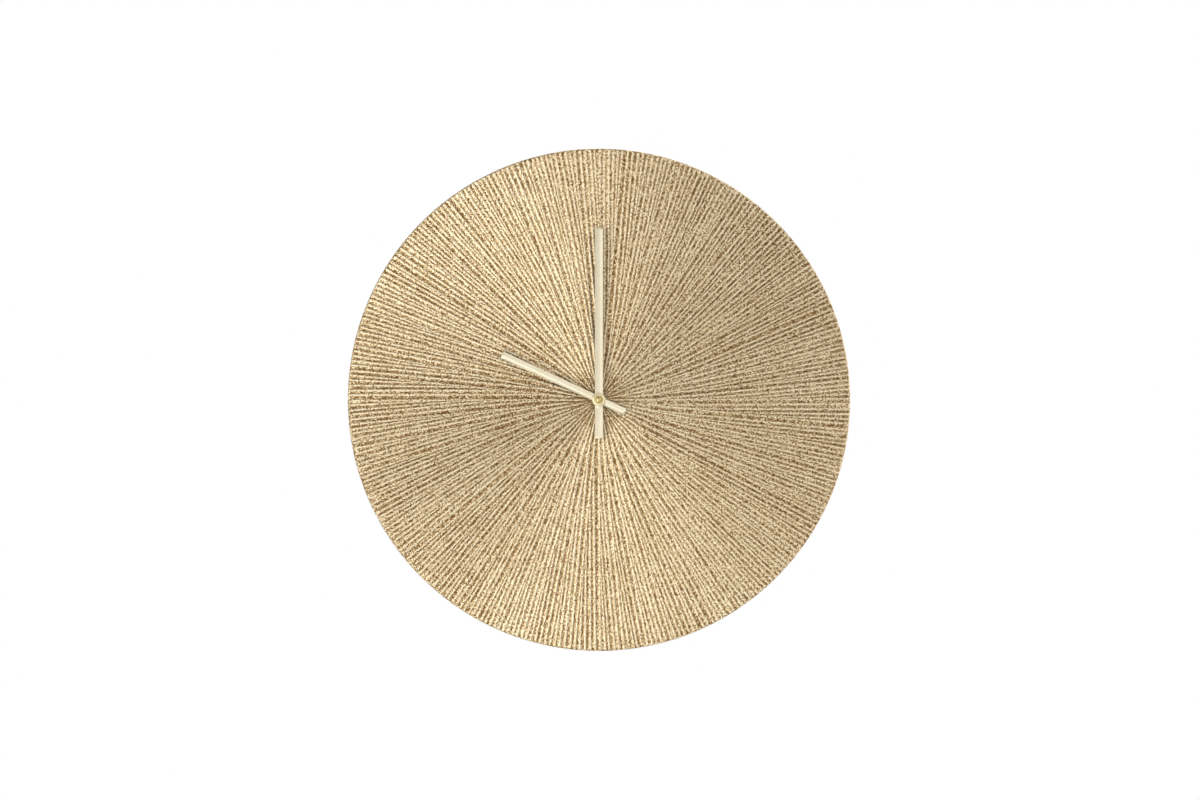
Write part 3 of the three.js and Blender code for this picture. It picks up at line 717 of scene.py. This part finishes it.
def following(turns):
    """The next line round the dial for each line; the last one's is a whole turn on."""
    after = np.roll(turns, -1, axis=1)
    after[:, -1] += 1.0
    return after


def ring_radii():
    """Radii of the rows of points, with one row at each radius where ribs start."""
    starts = (HUB_RIBS_MEET_R, *reversed(BRANCH_R))
    spans = [
        np.linspace(inner, outer, count, endpoint=False)
        for inner, outer, count in zip(starts, starts[1:], SPAN_RINGS)
    ]
    hub = np.arange(HUB_RING_START_R, HUB_RIBS_MEET_R, HUB_RING_STEP)
    rim = np.linspace(starts[-1], RIB_END_R, RIM_RINGS)
    return np.concatenate([SEAT_RING_R, hub, *spans, rim])


def slow_noise(rng, count, radii, step, size):
    """For each of count lines, a smooth random value along the radii."""
    knots = np.arange(0.0, DISC_R + 2 * step, step)
    values = rng.normal(0.0, size, (count, len(knots)))
    return np.array([np.interp(radii, knots, row) for row in values]).T


def crest_turns(rng, radii):
    """Where every rib's crest is on each ring, as a part of a turn.

    Until a branch starts, it lies on the rib that its wedge starts with.
    """
    start = np.array(BRANCH_R) + rng.uniform(0.0, BRANCH_START_STRAY, (WEDGES, BRANCHES))
    edge = (np.arange(WEDGES) + rng.normal(0.0, RIB_STRAY, WEDGES)) / WEDGES
    edge = edge[None, :] + slow_noise(rng, WEDGES, radii, WANDER_STEP, WANDER)
    fraction = np.array(RIM_FRACTION) + rng.normal(0.0, BRANCH_STRAY, (WEDGES, BRANCHES))
    radius = radii[:, None, None]
    reach = np.maximum(0.0, radius - start[None]) / (DISC_R - start[None])
    branch = fraction[None] * DISC_R / radius * reach
    crest = np.concatenate([np.zeros((len(radii), WEDGES, 1)), branch], axis=2)
    width = following(edge) - edge
    return (edge[:, :, None] + crest * width[:, :, None]).reshape(len(radii), RIBS)


def rib_strength(radii):
    """1 where a rib stands at full height; every other wedge's ribs fade in near the hub."""
    strength = np.ones((len(radii), WEDGES // 2, 2 * WEDGE_RIBS))
    fade = share_of(radii, HUB_RIBS_MEET_R, HUB_RIBS_FADE)
    strength[:, :, WEDGE_RIBS:] = fade[:, None, None]
    return strength.reshape(len(radii), RIBS)


def valley_depths(radii, gap):
    """How deep each valley is; inside the branches, a wedge has the depth of its widest gap."""
    widest = gap.reshape(len(radii), WEDGES, WEDGE_RIBS).max(axis=2).repeat(WEDGE_RIBS, axis=1)
    unsplit = (radii < BRANCH_R[-1])[:, None]
    return np.minimum(VALLEY_DEPTH, DEPTH_SHARE * np.where(unsplit, widest, gap))


def flank(distance, reach):
    """The smooth fall from a crest (0) to the valley floor (1)."""
    share = np.clip(distance / reach, 0.0, 1.0)
    return share * share * (3.0 - 2.0 * share)


def dial_front(rng, radii):
    """Turn, height, crest value and looseness of the points, in columns that follow the ribs."""
    turn = crest_turns(rng, radii)
    width = following(turn) - turn
    gap = width * FULL_TURN * radii[:, None]
    strength = rib_strength(radii)
    next_strength = np.roll(strength, -1, axis=1)
    lift = slow_noise(rng, RIBS, radii, LIFT_STEP, LIFT)
    next_lift = np.roll(lift, -1, axis=1)
    shade = rng.uniform(*VALLEY_SHADE, RIBS)
    shade = shade + HUB_SHADE * (1.0 - share_of(radii, *HUB_SHADE_R)[:, None])
    buffed = share_of(radii, *CREST_EDGE_R)[:, None]
    edge_power = HUB_CREST_EDGE + (CREST_EDGE - HUB_CREST_EDGE) * buffed
    depth = valley_depths(radii, gap)
    reach = np.minimum(CREST_REACH, REACH_SHARE * gap) + TINY
    lift_share = LIFT_SHARE * np.clip(gap / LIFT_FULL_GAP, 0.0, 1.0)
    grain_share = np.clip(gap / GRAIN_FULL_GAP, 0.0, 1.0)
    samples = []
    for t in ACROSS:
        left = 1.0 - strength * (1.0 - flank(t * gap, reach))
        right = 1.0 - next_strength * (1.0 - flank((1.0 - t) * gap, reach))
        fall = np.where(gap < CLOSED_GAP, 1.0 - strength, left * right)
        raised = lift * (1.0 - t) + next_lift * t
        height = CREST_Y + depth * fall - raised * lift_share
        crest = (1.0 - fall) ** edge_power - shade * fall
        loose = grain_share * (GRAIN_ON_CREST + (1.0 - GRAIN_ON_CREST) * fall)
        samples.append((turn + width * t, height, crest, loose))
    columns = (len(radii), RIBS * len(ACROSS))
    return [np.stack(layer, axis=2).reshape(columns) for layer in zip(*samples)]


def dial_grid(rng):
    """The whole front with the plain lip round it: points, crest value and looseness."""
    radii = ring_radii()
    turns, heights, crests, loose = dial_front(rng, radii)
    radius = radii[:, None]
    angle = turns * FULL_TURN
    heights = SEAT_Y + (heights - SEAT_Y) * share_of(radius, SEAT_SLOPE_R, SEAT_SLOPE)
    front = np.stack([radius * np.cos(angle), heights, radius * np.sin(angle)], axis=2)
    last = angle[-1]
    lip = [
        np.stack([r * np.cos(last), np.full_like(last, y), r * np.sin(last)], axis=1)
        for r, y in RIM_PROFILE
    ]
    lip_shape = (len(lip), len(last))
    crests = np.concatenate([crests, np.full(lip_shape, RIM_TONE)])
    loose = np.concatenate([loose, np.zeros(lip_shape)])
    return np.concatenate([front, np.array(lip)]), crests, loose


def merged(grid, *layers):
    """One vertex for each place, since ribs that have not started yet share theirs.

    Returns the vertices, the layers at them, and the vertex number of every grid point.
    """
    points = grid.reshape(-1, 3)
    microns = np.round(points * 1e3).astype(np.int64)
    _, first, where = np.unique(microns, axis=0, return_index=True, return_inverse=True)
    kept = [layer.reshape(-1)[first] for layer in layers]
    return points[first], kept, where.reshape(grid.shape[:2])


def grid_faces(index):
    """Faces between the rows of a grid that closes on itself."""
    after = np.roll(index, -1, axis=1)
    quads = np.stack([index[:-1], after[:-1], after[1:], index[1:]], axis=2)
    return without_doubled_corners(quads.reshape(-1, 4).tolist())


def ring(points, r, y, count):
    """Adds a round row of points and returns their numbers."""
    first = len(points)
    for k in range(count):
        a = FULL_TURN * k / count
        points.append([r * math.cos(a), y, r * math.sin(a)])
    return list(range(first, first + count))


def bridge(points, one, two):
    """Triangles between two rings that have their own numbers of points."""
    def turn_of(i):
        return math.atan2(points[i][2], points[i][0]) % FULL_TURN

    def turn_at(members, k):
        laps, place = divmod(k, len(members))
        return turn_of(members[place]) + laps * FULL_TURN

    one = sorted(one, key=turn_of)
    two = sorted(two, key=turn_of)
    faces = []
    i = j = 0
    while i < len(one) or j < len(two):
        here = [one[i % len(one)], two[j % len(two)]]
        one_is_next = i < len(one) and turn_at(one, i + 1) <= turn_at(two, j + 1)
        if j >= len(two) or one_is_next:
            i += 1
            faces.append([*here, one[i % len(one)]])
        else:
            j += 1
            faces.append([*here, two[j % len(two)]])
    return faces


def dial_mesh():
    rng = np.random.default_rng(SEED)
    points, (tone, loose), index = merged(*dial_grid(rng))
    points[:, 1] += rng.normal(0.0, GRAIN_HEIGHT, len(points)) * loose
    points = points.tolist()
    faces = grid_faces(index)

    inner = list(dict.fromkeys(index[0].tolist()))
    outer = list(dict.fromkeys(index[-1].tolist()))
    seat = ring(points, SEAT_R, SEAT_Y, BORE_SIDES)
    bore_front = ring(points, HOLE_R, SEAT_Y, BORE_SIDES)
    bore_back = ring(points, HOLE_R, DISC_BACK, BORE_SIDES)
    back_edge = ring(points, DISC_R - BACK_BEVEL, DISC_BACK, EDGE_SIDES)
    back_rings = [ring(points, r, DISC_BACK, BACK_SIDES) for r in BACK_RING_R]
    for one, two in ((inner, seat), (seat, bore_front), (bore_front, bore_back), (outer, back_edge)):
        faces += bridge(points, one, two)
    front_faces = len(faces)
    back = [back_edge, *back_rings, bore_back]
    for one, two in zip(back, back[1:]):
        faces += bridge(points, one, two)

    mesh = mesh_from("dial", points, faces)
    mesh.materials.append(MATERIALS["cast_brass"])
    mesh.materials.append(CAST_BACK)
    for polygon in list(mesh.polygons)[front_faces:]:
        polygon.material_index = 1
    face_outward(mesh)
    tone = tone.tolist() + [RIM_TONE] * (len(points) - len(tone))
    attribute = mesh.attributes.new("crest", "FLOAT", "POINT")
    attribute.data.foreach_set("value", np.array(tone, np.float32))
    return mesh


def make_dial():
    new_object("dial", dial_mesh(), "clock", "cast_brass", "dial_disc")


# ---------- hands ----------
def bar_section(hand):
    """Across a hand: (x, share of the thickness), bevelled on one side, cambered on the other."""
    half = hand["half_width"]
    (outer, outer_rise), (inner, inner_rise) = EASED_EDGE
    section = [
        (-half + outer, outer_rise),
        (-half + inner, inner_rise),
        (-half + CAMBER, CAMBER_RISE),
        (half * CROWN, 1.0),
        (half - hand["bevel"], 1.0),
        (half - inner, 1.0 - hand["bevel_fall"] / hand["thick"]),
        (half - outer, outer_rise),
    ]
    if hand["bevel_side"] < 0:
        section = [(-x, rise) for x, rise in reversed(section)]
    return section


def bar_rows(hand):
    """Along a hand: (z, share of the thickness) from its tail to its tip."""
    tail, tip = hand["tail"], hand["tip"]
    ends = (*EASED_EDGE, (END_SLOPE, 1.0))
    middle = np.linspace(-tail + BAR_ROWS_START, tip - BAR_ROWS_START, BAR_ROWS)
    rows = [(-tail + inset, rise) for inset, rise in ends]
    rows += [(z, 1.0) for z in middle]
    rows += [(tip - inset, rise) for inset, rise in reversed(ends)]
    return rows


def slab_faces(wide, long):
    """Faces of a slab: a front grid, a back grid numbered after it, and the sides."""
    back = wide * long
    faces = []
    for i in range(long - 1):
        for j in range(wide - 1):
            k = i * wide + j
            faces.append([k, k + 1, k + wide + 1, k + wide])
            faces.append([back + k, back + k + wide, back + k + wide + 1, back + k + 1])
    border = list(range(wide))
    border += [i * wide + wide - 1 for i in range(1, long)]
    border += [(long - 1) * wide + j for j in range(wide - 2, -1, -1)]
    border += [i * wide for i in range(long - 2, 0, -1)]
    for k, here in enumerate(border):
        there = border[(k + 1) % len(border)]
        faces.append([here, back + here, back + there, there])
    return faces


def bar(name, hand):
    """The flat blade of a hand."""
    section = bar_section(hand)
    rows = bar_rows(hand)
    back, thick = hand["back"], hand["thick"]
    front = [(x, back - thick * min(rise, end), z) for z, end in rows for x, rise in section]
    rear = [(x, back, z) for z, _ in rows for x, _ in section]
    mesh = mesh_from(name, front + rear, slab_faces(len(section), len(rows)))
    face_outward(mesh)
    return mesh


def boss_profile(hand):
    """A drum whose front edge is rounded over."""
    back = hand["back"]
    front = back - hand["thick"]
    rear = [(BOSS_R - inset, back - step) for inset, step in BOSS_BACK]
    face = [(BOSS_R - inset, front - rise) for inset, rise in BOSS_FRONT]
    return [(0, back), *rear, *face]


def paint_hand(mesh):
    """Painted shade in near-black brown on the back, yellower brass on the boss and pale brass on the
    rest.
    """
    mesh.materials.clear()
    for material in (MATERIALS["hand_brass"], PAINTED_SHADE_BACK, BOSS_BRASS):
        mesh.materials.append(material)
    for polygon in mesh.polygons:
        corners = [mesh.vertices[k].co for k in polygon.vertices]
        # faces turned to the dial get the near-black painted shade
        if polygon.normal.y > 0.5:
            polygon.material_index = 1
        elif max(math.hypot(corner.x, corner.z) for corner in corners) < BOSS_FACE_R * MM:
            polygon.material_index = 2


def collar_profile(hand):
    """A plain sleeve from inside the blade back towards the movement."""
    r, front, back = hand["collar_r"], hand["back"] - COLLAR_ROOT, hand["collar_back"]
    return [(0, front), (r, front), (r, back), (0, back)]


def bore_profile(hand):
    """The cutter for the hand's bore, which runs through to the wall plane."""
    r, front = hand["bore"], hand["back"] - BORE_AHEAD
    return [(0, front), (r, front), (r, 0), (0, 0)]


def make_hand(node, body, hand):
    boss = lathe(node + "_boss", boss_profile(hand), BOSS_SIDES)
    collar = lathe(node + "_collar", collar_profile(hand), COLLAR_SIDES)
    bore = lathe(node + "_hole", bore_profile(hand), HAND_BORE_SIDES)
    mesh = joined(node, bar(node, hand), [boss, collar])
    mesh = joined(node, mesh, [bore], "DIFFERENCE")
    mesh.transform(Matrix.Rotation(math.radians(hand["degrees"]), 4, "Y"))
    paint_hand(mesh)
    new_object(node + "_piece", mesh, body, "hand_brass", node)


def make_hands():
    make_hand("hour_hand", "hour", HOUR_HAND)
    make_hand("minute_hand", "minute", MINUTE_HAND)


def make_cap_nut():
    dome = [(0, DOME_BASE - DOME_RISE)]
    for k in range(1, DOME_STEPS + 1):
        a = math.radians(90 - 90 * k / DOME_STEPS)
        dome.append((DOME_R * math.cos(a), DOME_BASE - DOME_RISE * math.sin(a)))
    skirt = [
        (NUT_R - 0.05, DOME_BASE + 0.15),
        (NUT_R, DOME_BASE + 0.4),
        (NUT_R, NUT_BACK - 0.15),
        (NUT_R - 0.1, NUT_BACK),
    ]
    bore = [(NUT_BORE, NUT_BACK), (NUT_BORE, NUT_BACK - 2.5), (0, NUT_BACK - 2.6)]
    mesh = lathe("cap_nut_piece", dome + skirt + bore, NUT_SIDES)
    new_object("cap_nut_piece", mesh, "minute", "nut_brass", "cap_nut")


# ---------- back ----------
def rounded_outline(x0, z0, x1, z1, r, steps=6):
    """A rectangle's outline with rounded corners."""
    outline = []
    corners = ((x1 - r, z1 - r, 0), (x0 + r, z1 - r, 90), (x0 + r, z0 + r, 180), (x1 - r, z0 + r, 270))
    for cx, cz, start in corners:
        for k in range(steps + 1):
            a = math.radians(start + 90 * k / steps)
            outline.append((cx + r * math.cos(a), cz + r * math.sin(a)))
    return outline


def plus_outline(cx, cz, reach, half):
    a, b = reach, half
    corners = ((a, b), (b, b), (b, a), (-b, a), (-b, b), (-a, b))
    corners += ((-a, -b), (-b, -b), (-b, -a), (b, -a), (b, -b), (a, -b))
    return [(cx + x, cz + z) for x, z in corners]


def arrow_outline(centre, r, half, start, end):
    """A curved arrow round a centre, pointing the way its angle grows."""
    def at(radius, degrees):
        a = math.radians(degrees)
        return (centre[0] + radius * math.cos(a), centre[1] + radius * math.sin(a))

    steps = 14
    barb = 2.6 * half
    turns = [start + (end - start) * k / steps for k in range(steps + 1)]
    outline = [at(r + half, t) for t in turns]
    outline += [at(r + barb, end), at(r, end + ARROW_POINT), at(r - barb, end)]
    return outline + [at(r - half, t) for t in reversed(turns)]


def case_cuts():
    """Sunk panel, groove round the knob, pin marks and side clips."""
    out = CASE_BACK + CLEAR
    inner, outer = KNOB_GROOVE_R
    floor = CASE_BACK - KNOB_GROOVE_DEPTH
    groove = [(inner, floor), (outer, floor), (outer, out), (inner, out)]
    panel = rounded_outline(*PANEL_BOX, PANEL_CORNER)
    cuts = [
        prism("panel", panel, CASE_BACK - PANEL_DEPTH, out),
        lathe("knob_ring", groove, KNOB_GROOVE_SIDES, KNOB_AT),
    ]
    floor = CASE_BACK - PIN_MARK_DEPTH
    spot = [(0, floor), (PIN_MARK_R, floor), (PIN_MARK_R, out), (0, out)]
    for at in PIN_MARKS:
        cuts.append(lathe("pin_mark", spot, PIN_MARK_SIDES, at))
    for side in (-1, 1):
        x0, x1 = sorted(side * x for x in CLIP_X)
        for z in CLIP_Z:
            outline = [(x0, z), (x1, z), (x1, z + CLIP_LENGTH), (x0, z + CLIP_LENGTH)]
            cuts.append(prism("clip", outline, *CLIP_Y))
    return cuts


def case_marks():
    """Raised arrow, plus and minus signs, and the grip bars in the panel."""
    signs = {
        "arrow": arrow_outline(KNOB_AT, ARROW_R, ARROW_HALF, *ARROW_SPAN),
        "plus": plus_outline(*PLUS_AT, PLUS_REACH, PLUS_HALF),
        "minus": rounded_outline(*MINUS_BOX, MINUS_CORNER, 2),
    }
    root, face = CASE_BACK - MARK_ROOT, CASE_BACK + MARK_RISE
    marks = [prism(name, outline, root, face) for name, outline in signs.items()]
    floor = CASE_BACK - PANEL_DEPTH
    for k, end in enumerate(GRIP_X1):
        z = GRIP_Z0 + GRIP_PITCH * k
        outline = rounded_outline(GRIP_X0, z, end, z + GRIP_WIDTH, GRIP_CORNER, 3)
        marks.append(prism("grip", outline, floor - GRIP_ROOT, floor + GRIP_RISE))
    return marks


def make_case():
    worked("movement_case", "clock", "black_plastic", CASE_EDGE, case_cuts(), case_marks())


def make_knob():
    x, z = KNOB_AT
    flute = [(0, FLUTE_END), (FLUTE_R, FLUTE_END), (FLUTE_R, CLEAR), (0, CLEAR)]
    cuts = []
    for k in range(FLUTES):
        a = FULL_TURN * k / FLUTES
        at = (x + FLUTE_RING_R * math.cos(a), z + FLUTE_RING_R * math.sin(a))
        cuts.append(lathe("flute", flute, FLUTE_SIDES, at))
    slot = rounded_outline(
        x - SLOT_HALF_LENGTH,
        z - SLOT_HALF_WIDTH,
        x + SLOT_HALF_LENGTH,
        z + SLOT_HALF_WIDTH,
        SLOT_CORNER,
    )
    cuts.append(prism("slot", slot, SLOT_FLOOR, CLEAR))
    worked("setting_knob", "knob", "white_plastic", KNOB_EDGE, cuts)


def make_screw(node, at, seat, degrees):
    """A pan-head screw with a cross recess."""
    name = node + "_piece"
    shank = [
        (0, SCREW_TIP),
        (SCREW_POINT_R, SCREW_TIP),
        (SCREW_R, SCREW_TIP + SCREW_POINT),
        (SCREW_R, seat + HEAD[0][1]),
    ]
    head = [(r, seat + rise) for r, rise in HEAD]
    mesh = lathe(name, shank + head, SCREW_SIDES, at)
    cross = plus_outline(0, 0, RECESS_REACH, RECESS_HALF)
    recess = prism(name + "_recess", cross, seat + RECESS_FLOOR, seat + RECESS_TOP)
    recess.transform(Matrix.Rotation(math.radians(degrees), 4, "Y"))
    recess.transform(Matrix.Translation((at[0] * MM, 0, at[1] * MM)))
    mesh = joined(name, mesh, [recess], "DIFFERENCE")
    mesh.materials.clear()
    ease(new_object(name, mesh, "clock", "steel", node), SCREW_EDGE)


def make_hanger():
    worked("hanger_plate", "clock", "zinc", HANGER_EDGE)
    for label, x, degrees in HANGER_SCREWS:
        make_screw("hanger_screw_" + label, (x, HANGER_Z), HANGER_BACK, degrees)
        worked("hanger_spacer_" + label, "clock", "zinc", SPACER_EDGE)


def bumper_profile():
    """A tapered rubber foot with a groove near its base, a ribbed face and a screw well."""
    return [
        (BUMPER_BORE_R, BUMPER_FOOT),
        (8.8, BUMPER_FOOT),
        (9.0, -19.7),
        (8.82, -16.4),
        (8.5, -16.1),
        (8.5, -15.7),
        (8.76, -15.4),
        (8.1, -0.9),
        (7.85, -0.3),
        (7.3, 0.0),
        (6.75, 0.0),
        (6.6, -0.35),
        (6.1, -0.35),
        (5.95, 0.0),
        (BUMPER_WELL_R + 0.25, 0.0),
        (BUMPER_WELL_R, -0.25),
        (BUMPER_WELL_R, BUMPER_SEAT),
        (BUMPER_BORE_R, BUMPER_SEAT),
    ]


def make_bumpers():
    for k, degrees in enumerate(BUMPER_TURNS, 1):
        a = math.radians(degrees)
        at = (BUMPER_RING_R * math.cos(a), BUMPER_RING_R * math.sin(a))
        node = f"bumper_{k}"
        mesh = lathe(node + "_piece", bumper_profile(), BUMPER_SIDES, at)
        new_object(node + "_piece", mesh, "clock", "rubber", node)
        make_screw(f"bumper_screw_{k}", at, BUMPER_SEAT, BUMPER_SCREW_STEP * k)


def can_profile():
    """From the flat end of the cell to its nub."""
    low, high = -CELL_HALF, CELL_HALF
    return [
        (0, low + 0.25),
        (4.0, low + 0.25),
        (4.4, low),
        (6.4, low),
        (CELL_R - 0.15, low + 0.2),
        (CELL_R, low + 0.55),
        (CELL_R, high - 1.0),
        (CELL_R - 0.2, high - 0.55),
        (6.35, high - 0.3),
        (5.2, high - 0.3),
        (4.9, high - 0.7),
        (3.3, high - 0.7),
        (2.75, high - 0.3),
        (2.7, high + 0.6),
        (2.45, high + 0.9),
        (1.9, high + 1.0),
        (0, high + 1.0),
    ]


def sleeve_profile():
    """The thin sleeve, with its shrunk ends turned in over the can."""
    low, high = -CELL_HALF, CELL_HALF
    return [
        (CELL_R + 0.03, low + 0.7),
        (SLEEVE_R - 0.08, low + 0.62),
        (SLEEVE_R, low + 0.85),
        (SLEEVE_R, high - 1.3),
        (SLEEVE_R - 0.08, high - 1.05),
        (CELL_R + 0.03, high - 1.0),
    ]


def make_cell():
    can = lathe("cell_can", can_profile(), CELL_SIDES, CELL_AT, "X")
    new_object("cell_can_piece", can, "battery", "cell_metal", "cell_can")
    sleeve = lathe("cell_sleeve", sleeve_profile(), CELL_SIDES, CELL_AT, "X")
    new_object("cell_sleeve_piece", sleeve, "battery", "cell_print", "cell_sleeve")


# ---------- CAD nodes that are shown as they are ----------
def finish_nodes():
    slots = {s["node"]: s["material_slot"] for s in frame["record"]["subparts"]}
    for name, node in frame["nodes"].items():
        if node.hide_render:
            continue
        node.data.materials.clear()
        node.data.materials.append(MATERIALS[slots[name]])
        smoothed(node.data)


# ---------- stage, light and camera ----------
def make_stage():
    mesh = bpy.data.meshes.new("floor")
    bm = bmesh.new()
    bmesh.ops.create_circle(bm, cap_ends=True, radius=FLOOR_R, segments=96)
    bm.to_mesh(mesh)
    bm.free()
    mesh.materials.append(pale_floor())
    floor = bpy.data.objects.new("floor", mesh)
    floor.location = (0, 0, FLOOR_Z)
    bpy.context.scene.collection.objects.link(floor)


def soft_light(name, place, target, size, watts, color):
    data = bpy.data.lights.new(name, "AREA")
    data.shape = "RECTANGLE"
    data.size, data.size_y = size
    data.energy = watts
    data.color = color
    light = bpy.data.objects.new(name, data)
    light.location = place
    light.rotation_euler = (Vector(target) - Vector(place)).to_track_quat("-Z", "Y").to_euler()
    light.visible_camera = False
    bpy.context.scene.collection.objects.link(light)


def background(tree, color, strength):
    node = tree.nodes.new("ShaderNodeBackground")
    node.inputs["Color"].default_value = color
    node.inputs["Strength"].default_value = strength
    return node.outputs[0]


def make_world():
    """A white backdrop that lights the clock as a dimmer, warmer room."""
    world = bpy.data.worlds.new("studio")
    bpy.context.scene.world = world
    world.use_nodes = True
    tree = world.node_tree
    tree.nodes.clear()
    out = tree.nodes.new("ShaderNodeOutputWorld")
    path = tree.nodes.new("ShaderNodeLightPath")
    mix = tree.nodes.new("ShaderNodeMixShader")
    tree.links.new(path.outputs["Is Camera Ray"], mix.inputs[0])
    tree.links.new(background(tree, *WORLD_LIGHT), mix.inputs[1])
    tree.links.new(background(tree, *WORLD_SEEN), mix.inputs[2])
    tree.links.new(mix.outputs[0], out.inputs["Surface"])


def make_camera():
    data = bpy.data.cameras.new("camera")
    data.sensor_width = SENSOR
    data.lens = SENSOR * CAMERA_AWAY / VIEW_WIDTH
    data.clip_end = 50.0
    camera = bpy.data.objects.new("camera", data)
    camera.location = (CAMERA_SIDE, -CAMERA_AWAY - DIAL_FRONT, CAMERA_UP)
    camera.rotation_euler = (math.pi / 2, 0, 0)
    bpy.context.scene.collection.objects.link(camera)
    bpy.context.scene.camera = camera


bpy.context.scene.view_settings.view_transform = "Standard"
make_camera()
make_stage()
make_world()
for settings in LIGHTS:
    soft_light(*settings)
make_dial()
make_hands()
make_cap_nut()
make_case()
make_knob()
make_hanger()
make_bumpers()
make_cell()
finish_nodes()

bpy.context.view_layer.update()
